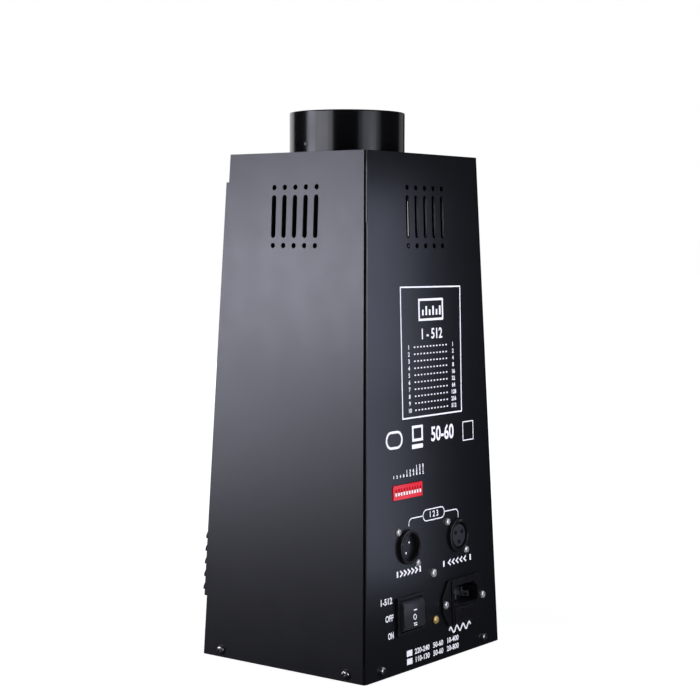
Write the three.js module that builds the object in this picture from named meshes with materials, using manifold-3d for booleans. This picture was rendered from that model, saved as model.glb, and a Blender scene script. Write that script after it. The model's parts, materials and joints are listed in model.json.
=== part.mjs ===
// A stage flame machine: a tapered tower of black sheet steel with a short round barrel on top,
// sockets and switches on its back, and a can bay behind a hinged door at the front.
// Millimetres, +Z up. The origin is the middle of the underside, the door faces -Y and the
// sockets face +Y. Pieces on a wall are placed in that wall's own frame: X to the right as the
// wall is faced, Y up its slope, Z outwards.
import * as THREE from "three";
import { mergeVertices } from "three/addons/utils/BufferGeometryUtils.js";
import Module from "manifold-3d";

const wasm = await Module();
wasm.setup();

// Driving sizes of the housing.
const bodyHeight = 360;
const baseWidth = 166;
const baseDepth = 146;
const topWidth = 134;
const topDepth = 121;
const sheet = 1.2; // thickness of the steel sheet
const wallFoot = 0.5; // how far the walls end above the floor
const panelSeam = 0.4; // seam between a side panel and the panel beside it
const returnDepth = 12; // depth of the turned-in edges of the front and back panels
const baseRim = 13; // height of the base plate's upturned rim
const topRim = 10; // height of the top plate's downturned rim

// Clearances.
const restGap = 0.3; // between two pieces that rest on each other
const runGap = 0.4; // round a piece that moves
const overrun = 5; // how far a cutting tool passes the piece that it cuts

// Number of flat sides on round pieces.
const barrelSides = 48;
const tubeSides = 28;
const smallSides = 16;
const screwSides = 10;
const wireSides = 8;

// Rows of air slots with a dot above and below each.
const vent = {
  middle: bodyHeight - 44,
  columns: 5,
  slotWidth: 4,
  slotLength: 30,
  dotRadius: 2,
  dotReach: 20.2,
  backPitch: 10.5,
  sidePitch: 9.4,
};

// The barrel, the collar that it is fixed to and the liner below it, on one upright axis.
const flueY = -7.25;
const barrel = { radius: 41.7, wall: 1.5, height: 30.6 };
const collar = { wall: 1.5, flange: 1.2, rise: 15, holeRadius: 30.4 };
const liner = { bore: 29, wall: 1, flange: 1, flangeRadius: 39, foot: 258 };

// The burner: a strap across the liner that carries the nozzle and two insulated electrodes.
const strap = { top: 266, halfWidth: 10, tab: 10 };
const nozzle = { bore: 3.5, throat: 5, neck: 7.5, seat: 9.5, seatHeight: 2, mouth: 10, lip: 1.2 };
const nozzleRise = { foot: 10, throat: 2.3, belly: 6, top: 18 };
const insulator = { spread: 17, radius: 3.5, seat: 5, seatHeight: 3, above: 16, below: 15, bore: 1.15 };
const electrode = { radius: 0.75, below: 3, bend: 5, tipReach: 3, tipRise: 12 };

// The shelf over the can bay.
const shelf = { top: 201.2, rim: 10, hole: 12 };

// The gas can, the cradle under it and the clip behind it.
const can = { radius: 32.5, chamfer: 1.5, shoulder: 163, crown: 178, cup: 13, cupHeight: 6, valve: 2.5, valveDepth: 7 };
const cradle = { wall: 2.3, floor: 1.5, height: 15, mouth: 26, mouthFront: 14 };
const clip = { wall: 1.2, middle: 125, height: 14, openAngle: 0.95, postWidth: 20, foot: 12, steps: 18 };

// The jet tube that the lever presses on the can's valve.
const jet = { bore: 1, stem: 2, stemLength: 9, button: 8, buttonHeight: 12.7, tube: 3, tubeInNozzle: 6 };
const jetLift = 6; // height of the button over the can's cup

// The lever, its bracket and the solenoid that pushes it.
const lever = { pivotX: 34, pushX: -36, halfWidth: 11, thickness: 3, eye: 4, hole: 4.6, end: 8, nose: 2, noseWidth: 2.6 };
const leverNoseReach = 6.2;
const leverPin = { radius: 1.5, play: 0.25, head: 2.6, headHeight: 1 };
const solenoid = { width: 22, depth: 24, height: 32, gap: 6.5, rod: 2.5, bore: 3, rodInside: 12, cap: 8, capHeight: 3 };
const solenoidFoot = 10;

// The spark coil on the shelf and its two leads.
const coil = { x: 45, y: 28, width: 34, depth: 32, height: 26.5, post: 3, postHeight: 5, postSpread: 14 };
const sparkLead = { radius: 1.5, rise: 7 };

// The supply box on the base plate.
const supply = { y: -18, depth: 80, height: 34, chamfer: 3 };
const supplyWallGap = 7; // from the foot of the side wall
const supplyCanGap = 7.2; // from the can's cradle
const supplyOuter = baseWidth / 2 - supplyWallGap;
const supplyInner = can.radius + cradle.wall + supplyCanGap;

// The hinged door of the can bay: a shallow tray over the front panel, with pressed louvres.
const door = { sheet: 1, stand: 2.9, edge: 0.8, foot: 42.5, head: 340.5 };
const opening = { edge: 18, foot: 52, head: 330 };
const louvre = { count: 5, first: 46, pitch: 9.3, height: 6, rise: 4, edge: 3.4, wall: 0.8, arcSteps: 4 };

// The long hinge on the door's far edge, measured from the corner of the housing.
const hinge = { radius: 1.8, out: 1.9, stand: 2.2, leaf: 1, foot: 97, head: 327, reach: 14, pin: 0.9, bore: 1.15 };
const knuckleCount = 9; // every other one belongs to the door, and the end ones don't
const hingeLeafClear = 0.5; // how far the door's leaf stays off the fixed knuckles

// The quarter-turn latch of the door.
const latch = { inset: 25, rise: 178, knob: 11, disc: 2.5, bar: 5, barHeight: 6, shaft: 4, cam: 1.5, camWidth: 8, camReach: 12 };
const camBehind = 0.4; // gap between the cam and the back of the front panel

// Signal sockets: a round nose through the panel and a square flange behind it.
const socket = { x: 30.5, rise: 87, shift: 0.5, nose: 12, cup: 9.7, proud: 3, cupDepth: 11, depth: 22, rear: 11.4 };
const socketFlange = { halfWidth: 14, halfHeight: 15.5, thickness: 2 };
const socketPins = { count: 3, circle: 4.7, radius: 1.2, length: 9.5, firstAngle: Math.PI / 6, disc: 2 };
const socketInsert = { radius: 8.2, step: 1, hole: 1.7, holeDepth: 10, groove: 6 };

// The ten-way slide switch block and the control board that it sits on.
const block = { x: -29, rise: 126, width: 34.6, height: 10.2, proud: 0.8, depth: 7.2 };
const slider = { count: 10, pitch: 3.2, width: 1.8, height: 2.4, travel: 2.4, depth: 1.4, proud: 0.2, play: 0.2 };
const board = { foot: 107, head: 178, halfWidth: 52, thickness: 1.6, post: 2.75, postInset: 5 };
const chips = { relayWidth: 16, relayDepth: 14, relayHeight: 12, chipWidth: 26, chipDepth: 8, chipHeight: 4 };

// The three-way rocker switch.
const rocker = { x: -30.3, rise: 40, width: 31.8, height: 26.8, rim: 2.2, tubWidth: 28.8, tubHeight: 24, tubDepth: 18 };
const paddle = { width: 24.8, sideGap: 0.9, reach: 10.9, end: 5.6, dip: 4.8, below: 4, arcSteps: 4 };
const paddleRoom = 6.4; // depth of the well under the paddle
const switchTab = { width: 6.3, thickness: 0.8, length: 8, spread: 8 };

// The mains inlet with its fuse drawer.
const inlet = { x: 35.4, rise: 39.4, earX: 26.6, earRise: 5, halfWidth: 19, halfHeight: 16.5, flange: 2, raised: 1.6 };
const inletBody = { halfWidth: 17.2, halfHeight: 16, depth: 28 };
const inletWell = { width: 31.4, height: 14, middle: 5, corner: 4, depth: 12 };
const blade = { width: 2, height: 4, length: 12, spread: 8, low: -2, high: 2.4, plate: 1 };
const drawer = { width: 28.4, height: 11.4, middle: -9, depth: 22, proud: 0.6, lip: 2, lipHeight: 1.6 };
const fuse = { radius: 2.5, length: 20, behind: 12, trough: 2.9 };

// The earth screw, with a washer behind the panel.
const earth = { x: 1, rise: 30.6, head: 3, headHeight: 2, shank: 1.5, hole: 1.75, washer: 5, washerThickness: 0.8, length: 11 };
const earthLead = { radius: 1.3, run: 10 };

// Colours and surface values of the finishes.
const finish = {
  black: { color: 0x1d1d20, roughness: 0.55, metalness: 0.3 },
  plastic: { color: 0x101012, roughness: 0.4, metalness: 0 },
  steel: { color: 0xb9bcc0, roughness: 0.35, metalness: 0.9 },
  darkSteel: { color: 0x4a4b4f, roughness: 0.5, metalness: 0.8 },
  brass: { color: 0xc9a24a, roughness: 0.35, metalness: 0.9 },
  ceramic: { color: 0xe9e6dc, roughness: 0.35, metalness: 0 },
  red: { color: 0xc8202a, roughness: 0.4, metalness: 0 },
  white: { color: 0xe8e6e0, roughness: 0.4, metalness: 0 },
  green: { color: 0x1f6b3a, roughness: 0.5, metalness: 0 },
  canPaint: { color: 0xc9ccd1, roughness: 0.3, metalness: 0.6 },
  glass: { color: 0xdfe8ea, roughness: 0.1, metalness: 0 },
  earthGreen: { color: 0x5b9a32, roughness: 0.5, metalness: 0 },
};

const weld = 1e-4; // vertices nearer than this are one
const quarter = Math.PI / 2;
const sideLean = Math.atan((baseWidth - topWidth) / 2 / bodyHeight);
const faceLean = Math.atan((baseDepth - topDepth) / 2 / bodyHeight);

// Half the housing's width and depth at a height.
function halfWidthAt(z) {
  return (baseWidth - ((baseWidth - topWidth) * z) / bodyHeight) / 2;
}
function halfDepthAt(z) {
  return (baseDepth - ((baseDepth - topDepth) * z) / bodyHeight) / 2;
}
// Half the width of the front or back face at a height up its slope.
function halfFaceAt(rise) {
  return halfWidthAt(rise * Math.cos(faceLean));
}

// A closed geometry as a solid, and back.
function solidOf(geometry) {
  const bare = geometry.index ? geometry.toNonIndexed() : geometry.clone();
  bare.deleteAttribute("normal");
  bare.deleteAttribute("uv");
  const merged = mergeVertices(bare, weld);
  const mesh = new wasm.Mesh({
    numProp: 3,
    vertProperties: merged.attributes.position.array,
    triVerts: new Uint32Array(merged.index.array),
  });
  return new wasm.Manifold(mesh);
}
function geometryOf(solid) {
  const mesh = solid.getMesh();
  const geometry = new THREE.BufferGeometry();
  geometry.setAttribute("position", new THREE.BufferAttribute(mesh.vertProperties, 3));
  geometry.setIndex(new THREE.BufferAttribute(mesh.triVerts, 1));
  geometry.computeVertexNormals();
  return geometry;
}
function join(pieces) {
  return geometryOf(pieces.map(solidOf).reduce((all, piece) => all.add(piece)));
}
function cut(body, tools) {
  return geometryOf(tools.map(solidOf).reduce((left, tool) => left.subtract(tool), solidOf(body)));
}
function keepInside(body, tool) {
  return geometryOf(solidOf(body).intersect(solidOf(tool)));
}

// A box between two values on each axis.
function box(x0, x1, y0, y1, z0, z1) {
  return new THREE.BoxGeometry(x1 - x0, y1 - y0, z1 - z0)
    .translate((x0 + x1) / 2, (y0 + y1) / 2, (z0 + z1) / 2);
}
// A box centred on X and Y.
function slab(width, depth, z0, z1) {
  return box(-width / 2, width / 2, -depth / 2, depth / 2, z0, z1);
}
// An upright round bar.
function bar(radius, z0, z1, sides) {
  return new THREE.CylinderGeometry(radius, radius, z1 - z0, sides)
    .rotateX(quarter)
    .translate(0, 0, (z0 + z1) / 2);
}
// A turned piece from its outline of radius and height, which closes itself.
function turned(outline, sides) {
  const points = outline.map(([radius, height]) => new THREE.Vector2(radius, height));
  if (THREE.ShapeUtils.isClockWise(points)) points.reverse();
  points.push(points[0].clone());
  return new THREE.LatheGeometry(points, sides).rotateX(quarter);
}
// A flat outline pushed up from z0 to z1.
function pushed(points, z0, z1) {
  const shape = new THREE.Shape(points.map(([x, y]) => new THREE.Vector2(x, y)));
  return new THREE.ExtrudeGeometry(shape, { depth: z1 - z0, bevelEnabled: false }).translate(0, 0, z0);
}
// An outline in a wall's upright section, of rise and stand, drawn out sideways to each side.
function drawn(points, halfLength) {
  const sideways = new THREE.Matrix4().makeBasis(
    new THREE.Vector3(0, 1, 0),
    new THREE.Vector3(0, 0, 1),
    new THREE.Vector3(1, 0, 0),
  );
  return pushed(points, -halfLength, halfLength).applyMatrix4(sideways);
}
// The outline of a slot with round ends, upright.
function slotOutline(width, length, steps) {
  const points = [];
  for (const end of [1, -1]) {
    for (let i = 0; i <= steps; i += 1) {
      const angle = (i / steps) * Math.PI + (end > 0 ? 0 : Math.PI);
      const middle = (end * (length - width)) / 2;
      points.push([(width / 2) * Math.cos(angle), middle + (width / 2) * Math.sin(angle)]);
    }
  }
  return points;
}
// A round wire along smooth points, square to its ends.
function wire(points, radius, steps) {
  const path = new THREE.CatmullRomCurve3(points.map((p) => new THREE.Vector3(...p)), false, "centripetal");
  const ring = new THREE.Shape();
  for (let i = 0; i < wireSides; i += 1) {
    const angle = (i / wireSides) * 2 * Math.PI;
    const place = [radius * Math.cos(angle), radius * Math.sin(angle)];
    if (i === 0) ring.moveTo(...place);
    else ring.lineTo(...place);
  }
  return new THREE.ExtrudeGeometry(ring, { steps, extrudePath: path, bevelEnabled: false });
}
// A pan-head screw that stands on z = 0 with its shank below.
function screw(size) {
  return turned(
    [
      [0, -size.length],
      [size.shank, -size.length],
      [size.shank, 0],
      [size.head, 0],
      [size.head, size.headHeight / 2],
      [size.head * panHeadShare, size.headHeight],
      [0, size.headHeight],
    ],
    screwSides,
  );
}
const panHeadShare = 0.62; // flat top of a pan head, as a share of the head

// The frame of a wall, by its turn about the upright axis, its reach at the floor and its lean.
function wallFrame(turn, reach, lean) {
  return new THREE.Matrix4()
    .makeRotationZ(turn)
    .multiply(new THREE.Matrix4().makeTranslation(0, -reach, 0))
    .multiply(new THREE.Matrix4().makeRotationX(quarter - lean));
}
const walls = {
  front: wallFrame(0, baseDepth / 2, faceLean),
  right: wallFrame(quarter, baseWidth / 2, sideLean),
  back: wallFrame(Math.PI, baseDepth / 2, faceLean),
  left: wallFrame(-quarter, baseWidth / 2, sideLean),
};

const machine = new THREE.Group();
const onWall = {};
for (const [name, frame] of Object.entries(walls)) {
  onWall[name] = new THREE.Group();
  onWall[name].applyMatrix4(frame);
  machine.add(onWall[name]);
}
const flue = new THREE.Group();
flue.position.set(0, flueY, 0);
machine.add(flue);

// Adds a named mesh to a group, and gives it back to be placed.
function piece(name, geometry, look, parent = machine) {
  const mesh = new THREE.Mesh(geometry, new THREE.MeshStandardMaterial(look));
  mesh.name = name;
  parent.add(mesh);
  return mesh;
}

// The tapered body between two heights, drawn in by an inset on each side.
function taper(insetX, insetY, low, high) {
  const signs = [[-1, -1], [1, -1], [1, 1], [-1, 1]];
  const ring = (z) =>
    signs.flatMap(([x, y]) => [x * (halfWidthAt(z) - insetX), y * (halfDepthAt(z) - insetY), z]);
  const faces = [0, 2, 1, 0, 3, 2, 4, 5, 6, 4, 6, 7];
  for (let i = 0; i < 4; i += 1) {
    const next = (i + 1) % 4;
    faces.push(i, next, 4 + next, i, 4 + next, 4 + i);
  }
  const geometry = new THREE.BufferGeometry();
  geometry.setAttribute("position", new THREE.Float32BufferAttribute([...ring(low), ...ring(high)], 3));
  geometry.setIndex(faces);
  return geometry;
}
// One half of the body's space, on the side that a sign on X or Y gives.
function halfSpace(signX, signY) {
  const reach = baseWidth + baseDepth;
  const [x0, x1] = signX ? [Math.min(0, signX * reach), Math.max(0, signX * reach)] : [-reach, reach];
  const [y0, y1] = signY ? [Math.min(0, signY * reach), Math.max(0, signY * reach)] : [-reach, reach];
  return box(x0, x1, y0, y1, -overrun, bodyHeight + overrun);
}
// A tool pushed through a wall, at a place on that wall.
function through(wall, tool, x, rise) {
  return tool.clone().translate(x, rise, 0).applyMatrix4(walls[wall]);
}
function drill(wall, radius, x, rise, sides) {
  return through(wall, bar(radius, -overrun * 2, overrun, sides), x, rise);
}
function window_(wall, width, height, x, rise) {
  return through(wall, slab(width, height, -overrun * 2, overrun), x, rise);
}
function ventTools(wall, pitch) {
  const tools = [];
  const slot = pushed(slotOutline(vent.slotWidth, vent.slotLength, 5), -overrun, overrun);
  for (let i = 0; i < vent.columns; i += 1) {
    const x = (i - (vent.columns - 1) / 2) * pitch;
    tools.push(through(wall, slot, x, vent.middle));
    for (const end of [-1, 1]) tools.push(drill(wall, vent.dotRadius, x, vent.middle + end * vent.dotReach, 8));
  }
  return tools;
}

// The base plate: a tray with its rim turned up inside the walls.
function makeBase() {
  const inset = sheet + restGap;
  const hollow = taper(inset + sheet, inset + sheet, sheet, baseRim + overrun);
  piece("base_plate", cut(taper(inset, inset, 0, baseRim), [hollow]), finish.black);
}

// A side panel: one flat sheet over the full depth.
function makeSide(name, wall, sign) {
  const tall = [wallFoot, bodyHeight];
  const shell = cut(taper(0, 0, ...tall), [taper(sheet, -overrun, wallFoot - overrun, bodyHeight + overrun)]);
  piece(name, cut(keepInside(shell, halfSpace(sign, 0)), ventTools(wall, vent.sidePitch)), finish.black);
}

// The front or back panel, between the side panels, with its long edges turned in.
function facePanel(sign) {
  const edge = sheet + panelSeam;
  const low = wallFoot - overrun;
  const high = bodyHeight + overrun;
  const shell = cut(taper(edge, 0, wallFoot, bodyHeight), [
    taper(edge + sheet, sheet, low, high),
    taper(-overrun, returnDepth, low, high),
    taper(-overrun, sheet, low, baseRim + restGap),
    taper(-overrun, sheet, bodyHeight - topRim - restGap, high),
  ]);
  return keepInside(shell, halfSpace(0, sign));
}

function makeBack() {
  const play = restGap * 2;
  const tools = [
    ...ventTools("back", vent.backPitch),
    window_("back", block.width + play, block.height + play, block.x, block.rise),
    window_("back", rocker.tubWidth + play, rocker.tubHeight + play, rocker.x, rocker.rise),
    window_("back", inletBody.halfWidth * 2 + play, inletBody.halfHeight * 2 + play, inlet.x, inlet.rise),
    drill("back", earth.hole, earth.x, earth.rise, screwSides),
    ...socketPlaces().map((x) => drill("back", socket.nose + restGap, x, socket.rise, tubeSides)),
  ];
  piece("back_panel", cut(facePanel(1), tools), finish.black);
}

// A trapezium on the front or back face, at an even distance from its slanted edges.
function faceOutline(edge, low, high) {
  const a = halfFaceAt(low) - edge;
  const b = halfFaceAt(high) - edge;
  return [[-a, low], [a, low], [b, high], [-b, high]];
}

function makeFront() {
  const hole = pushed(faceOutline(opening.edge, opening.foot, opening.head), -overrun, overrun);
  piece("front_panel", cut(facePanel(-1), [hole.applyMatrix4(walls.front)]), finish.black);
}

// The top plate: a lid with its rim turned down inside the walls, and the flame's hole.
function makeTop() {
  const inset = sheet + restGap;
  const lid = cut(taper(inset, inset, bodyHeight - topRim, bodyHeight), [
    taper(inset + sheet, inset + sheet, bodyHeight - topRim - overrun, bodyHeight - sheet),
    bar(collar.holeRadius, bodyHeight - topRim, bodyHeight + overrun, tubeSides).translate(0, flueY, 0),
  ]);
  piece("top_plate", lid, finish.black);
}

// The barrel, the collar inside its foot and the liner below.
function makeFlue() {
  const seat = bodyHeight + restGap;
  const inner = barrel.radius - barrel.wall;
  const collarOut = inner - restGap;
  const tube = turned(
    [[inner, seat], [barrel.radius, seat], [barrel.radius, seat + barrel.height], [inner, seat + barrel.height]],
    barrelSides,
  );
  piece("flame_barrel", tube, finish.black, flue);

  const ring = turned(
    [
      [collar.holeRadius, seat],
      [collarOut, seat],
      [collarOut, seat + collar.rise],
      [collarOut - collar.wall, seat + collar.rise],
      [collarOut - collar.wall, seat + collar.flange],
      [collar.holeRadius, seat + collar.flange],
    ],
    barrelSides,
  );
  piece("barrel_collar", ring, finish.darkSteel, flue);

  const linerTop = bodyHeight - sheet - restGap;
  const linerOut = liner.bore + liner.wall;
  const sleeve = turned(
    [
      [liner.bore, liner.foot],
      [linerOut, liner.foot],
      [linerOut, linerTop - liner.flange],
      [liner.flangeRadius, linerTop - liner.flange],
      [liner.flangeRadius, linerTop],
      [liner.bore, linerTop],
    ],
    tubeSides,
  );
  piece("chimney_liner", sleeve, finish.steel, flue);
}

// The strap, the nozzle, the insulators and the electrodes above the can.
function makeBurner() {
  const reach = Math.sqrt((liner.bore - restGap) ** 2 - strap.halfWidth ** 2);
  const low = strap.top - sheet;
  const width = strap.halfWidth * 2;
  const strip = join([
    slab(reach * 2, width, low, strap.top),
    ...[-1, 1].map((side) => slab(sheet, width, low, low + strap.tab).translate(side * (reach - sheet / 2), 0, 0)),
  ]);
  const holes = [bar(nozzle.neck + restGap, low - overrun, strap.top + overrun, tubeSides)];
  for (const side of [-1, 1]) {
    holes.push(
      bar(insulator.radius + restGap, low - overrun, strap.top + overrun, smallSides)
        .translate(side * insulator.spread, 0, 0),
    );
  }
  piece("burner_strap", cut(strip, holes), finish.darkSteel, flue);

  const seat = strap.top + restGap;
  const foot = strap.top - nozzleRise.foot;
  piece(
    "burner_nozzle",
    turned(
      [
        [nozzle.bore, foot],
        [nozzle.neck, foot],
        [nozzle.neck, seat],
        [nozzle.seat, seat],
        [nozzle.seat, seat + nozzle.seatHeight],
        [nozzle.neck, seat + nozzle.seatHeight],
        [nozzle.neck, strap.top + nozzleRise.belly],
        [nozzle.mouth, strap.top + nozzleRise.top],
        [nozzle.mouth - nozzle.lip, strap.top + nozzleRise.top],
        [nozzle.throat, strap.top + nozzleRise.belly],
        [nozzle.throat, strap.top - nozzleRise.throat],
        [nozzle.bore, strap.top - nozzleRise.throat],
      ],
      tubeSides,
    ),
    finish.brass,
    flue,
  );

  const ceramic = turned(
    [
      [insulator.bore, strap.top - insulator.below],
      [insulator.radius, strap.top - insulator.below],
      [insulator.radius, seat],
      [insulator.seat, seat],
      [insulator.seat, seat + insulator.seatHeight],
      [insulator.radius, seat + insulator.seatHeight],
      [insulator.radius, strap.top + insulator.above],
      [insulator.bore, strap.top + insulator.above],
    ],
    smallSides,
  );
  const wireTop = strap.top + insulator.above;
  for (const [name, side] of Object.entries(sides)) {
    piece(`insulator_${name}`, ceramic.clone(), finish.ceramic, flue).position.set(side * insulator.spread, 0, 0);
    const spike = wire(
      [
        [side * insulator.spread, 0, electrodeFoot()],
        [side * insulator.spread, 0, wireTop],
        [side * insulator.spread, 0, wireTop + electrode.bend],
        [side * (insulator.spread + electrode.tipReach) * halfShare, 0, wireTop + electrode.tipRise * tipShare],
        [side * electrode.tipReach, 0, wireTop + electrode.tipRise],
      ],
      electrode.radius,
      16,
    );
    piece(`electrode_${name}`, spike, finish.steel, flue);
  }
}
const sides = { left: -1, right: 1 };
const halfShare = 0.5; // middle of the electrode's slanted run
const tipShare = 0.82; // height of that middle, as a share of the tip's rise
function electrodeFoot() {
  return strap.top - insulator.below - electrode.below;
}

// The shelf over the can bay, its rim turned down between the panels.
function makeShelf() {
  const insetX = sheet * 2 + panelSeam + restGap;
  const insetY = sheet + restGap;
  const low = shelf.top - sheet - shelf.rim;
  const tray = cut(taper(insetX, insetY, low, shelf.top), [
    taper(insetX + sheet, insetY + sheet, low - overrun, shelf.top - sheet),
    bar(shelf.hole, low, shelf.top + overrun, tubeSides).translate(0, flueY, 0),
  ]);
  piece("inner_shelf", tray, finish.darkSteel);
}

function canFoot() {
  return sheet + restGap + cradle.floor + restGap;
}
function canTop() {
  return canFoot() + can.crown + can.cupHeight;
}

// The cradle, the can that stands in it and the spring clip behind it.
function makeCan() {
  const foot = sheet + restGap;
  const room = can.radius + restGap;
  const cup = turned(
    [
      [0, foot],
      [room + cradle.wall, foot],
      [room + cradle.wall, foot + cradle.height],
      [room, foot + cradle.height],
      [room, foot + cradle.floor],
      [0, foot + cradle.floor],
    ],
    barrelSides,
  );
  const front = box(-cradle.mouth, cradle.mouth, -room * 2, -cradle.mouthFront, foot + cradle.floor, foot + cradle.height * 2);
  piece("can_cradle", cut(cup, [front]), finish.plastic, flue);

  const z = canFoot();
  const top = canTop();
  piece(
    "gas_can",
    turned(
      [
        [0, z],
        [can.radius - can.chamfer, z],
        [can.radius, z + can.chamfer],
        [can.radius, z + can.shoulder],
        ...canCrown(z),
        [can.cup, z + can.crown],
        [can.cup, top],
        [can.valve, top],
        [can.valve, top - can.valveDepth],
        [0, top - can.valveDepth],
      ],
      barrelSides,
    ),
    finish.canPaint,
    flue,
  );

  const ring = [];
  const inner = can.radius + restGap;
  for (let i = 0; i <= clip.steps; i += 1) {
    const angle = -quarter + clip.openAngle + (i / clip.steps) * 2 * (Math.PI - clip.openAngle);
    ring.push([inner, angle]);
  }
  const outline = [
    ...ring.map(([r, a]) => [r * Math.cos(a), r * Math.sin(a)]),
    ...ring.reverse().map(([r, a]) => [(r + clip.wall) * Math.cos(a), (r + clip.wall) * Math.sin(a)]),
  ];
  const low = clip.middle - clip.height / 2;
  const postFront = inner + cradle.wall + restGap;
  const half = clip.postWidth / 2;
  const bracket = join([
    pushed(outline, low, low + clip.height),
    box(-half / 2, half / 2, inner + clip.wall / 2, postFront + clip.wall / 2, low, low + clip.height),
    box(-half, half, postFront, postFront + clip.wall, foot, shelf.top - sheet - restGap),
    box(-half, half, postFront, postFront + clip.foot, foot, foot + clip.wall),
    box(-half, half, postFront, postFront + clip.foot, shelf.top - sheet - restGap - clip.wall, shelf.top - sheet - restGap),
  ]);
  piece("can_clip", bracket, finish.steel, flue);
}
// The rounded shoulder of the can, between its wall and its cup.
function canCrown(z) {
  const points = [];
  for (let i = 1; i < crownSteps; i += 1) {
    const angle = (i / crownSteps) * quarter;
    points.push([
      can.cup + (can.radius - can.cup) * Math.cos(angle),
      z + can.shoulder + (can.crown - can.shoulder) * Math.sin(angle),
    ]);
  }
  return points;
}
const crownSteps = 4;

function buttonTop() {
  return canTop() + jetLift + jet.buttonHeight;
}

// The jet tube: a stem in the can's valve, a button and a tube up into the nozzle.
function makeJet() {
  const foot = canTop() + jetLift;
  const top = strap.top - nozzleRise.foot + jet.tubeInNozzle;
  piece(
    "jet_tube",
    turned(
      [
        [jet.bore, foot - jet.stemLength],
        [jet.stem, foot - jet.stemLength],
        [jet.stem, foot],
        [jet.button, foot],
        [jet.button, buttonTop()],
        [jet.tube, buttonTop()],
        [jet.tube, top],
        [jet.bore, top],
      ],
      smallSides,
    ),
    finish.brass,
    flue,
  );
}

// Height of the lever's pivot, over the button that its nose presses.
function leverLow() {
  return buttonTop() + restGap + lever.nose - restGap;
}
function pivotRise() {
  return leverLow() + lever.thickness / 2;
}

// The lever, the bracket and pin that it turns on, and the solenoid over its far end.
function makeLever() {
  const low = leverLow();
  const high = low + lever.thickness;
  const middle = pivotRise();
  const across = (radius, halfLength, sides) =>
    bar(radius, -halfLength, halfLength, sides).rotateX(quarter).translate(0, 0, 0);
  const arm = join([
    box(lever.pushX - lever.end, lever.pivotX, -lever.halfWidth, lever.halfWidth, low, high),
    across(lever.eye, lever.halfWidth, smallSides).translate(lever.pivotX, 0, middle),
    ...[-1, 1].map((side) =>
      across(lever.nose, lever.noseWidth / 2, smallSides)
        .translate(0, side * leverNoseReach, low + restGap),
    ),
  ]);
  const pinHole = across(leverPin.radius + leverPin.play, lever.halfWidth * 2, smallSides)
    .translate(lever.pivotX, 0, middle);
  piece("press_lever", cut(arm, [bar(lever.hole, low - overrun, high + overrun, smallSides), pinHole]), finish.steel, flue);

  const seat = shelf.top + restGap;
  const earIn = lever.halfWidth + runGap;
  const earOut = earIn + sheet;
  const earHalf = lever.eye + sheet;
  const ears = [-1, 1].map((side) =>
    box(
      lever.pivotX - earHalf,
      lever.pivotX + earHalf,
      Math.min(side * earIn, side * earOut),
      Math.max(side * earIn, side * earOut),
      seat,
      middle + lever.eye,
    ),
  );
  const bracket = join([box(lever.pivotX - earHalf, lever.pivotX + earHalf, -earOut, earOut, seat, seat + sheet), ...ears]);
  piece("lever_bracket", cut(bracket, [pinHole]), finish.steel, flue);

  const halfPin = earOut + restGap;
  const pin = join([
    across(leverPin.radius, halfPin, smallSides),
    across(leverPin.head, leverPin.headHeight / 2, smallSides).translate(0, halfPin + leverPin.headHeight / 2, 0),
    across(leverPin.head, leverPin.headHeight / 2, smallSides).translate(0, -halfPin - leverPin.headHeight / 2, 0),
  ]);
  piece("lever_pin", pin, finish.steel, flue).position.set(lever.pivotX, 0, middle);

  const bodyLow = high + solenoid.gap;
  const bodyHigh = bodyLow + solenoid.height;
  const body = cut(
    join([slab(solenoid.width, solenoid.depth, bodyLow, bodyHigh), bar(solenoid.cap, bodyHigh, bodyHigh + solenoid.capHeight, smallSides)]),
    [bar(solenoid.bore, bodyLow - overrun, bodyLow + solenoid.rodInside + overrun, smallSides)],
  );
  piece("solenoid", body, finish.darkSteel, flue).position.set(lever.pushX, 0, 0);
  piece(
    "solenoid_plunger",
    bar(solenoid.rod, high + restGap, bodyLow + solenoid.rodInside, smallSides),
    finish.steel,
    flue,
  ).position.set(lever.pushX, 0, 0);

  const plateFront = solenoid.depth / 2 + restGap;
  const half = solenoid.width / 2 + sheet;
  const plate = join([
    box(-half, half, plateFront, plateFront + sheet, seat, bodyHigh),
    box(-half, half, plateFront, plateFront + solenoidFoot, seat, seat + sheet),
  ]);
  piece("solenoid_bracket", plate, finish.steel, flue).position.set(lever.pushX, 0, 0);
}

// The spark coil and the leads to the electrodes' feet.
function makeCoil() {
  const seat = shelf.top + restGap;
  const top = seat + coil.height;
  const posts = [-1, 1].map((side) =>
    bar(coil.post, top - sheet, top + coil.postHeight, smallSides).translate((side * coil.postSpread) / 2, 0, 0),
  );
  const body = join([slab(coil.width, coil.depth, seat, top), ...posts]);
  piece("spark_coil", body, finish.plastic).position.set(coil.x, coil.y, 0);

  const from = top + coil.postHeight + restGap;
  const to = electrodeFoot() - restGap;
  for (const [name, side] of Object.entries(sides)) {
    const post = [coil.x + (side * coil.postSpread) / 2, coil.y];
    const foot = [side * insulator.spread, flueY];
    const run = leadRunShares[name];
    const lead = wire(
      [
        [...post, from],
        [...post, from + sparkLead.rise],
        [(post[0] + foot[0]) / 2, coil.y + (flueY - coil.y) * run, from + sparkLead.rise],
        [...foot, to - sparkLead.rise],
        [...foot, to],
      ],
      sparkLead.radius,
      18,
    );
    piece(`spark_lead_${name}`, lead, finish.red);
  }
}
const leadRunShares = { left: 0.2, right: 0.7 }; // how far forward each lead is at its middle

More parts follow.
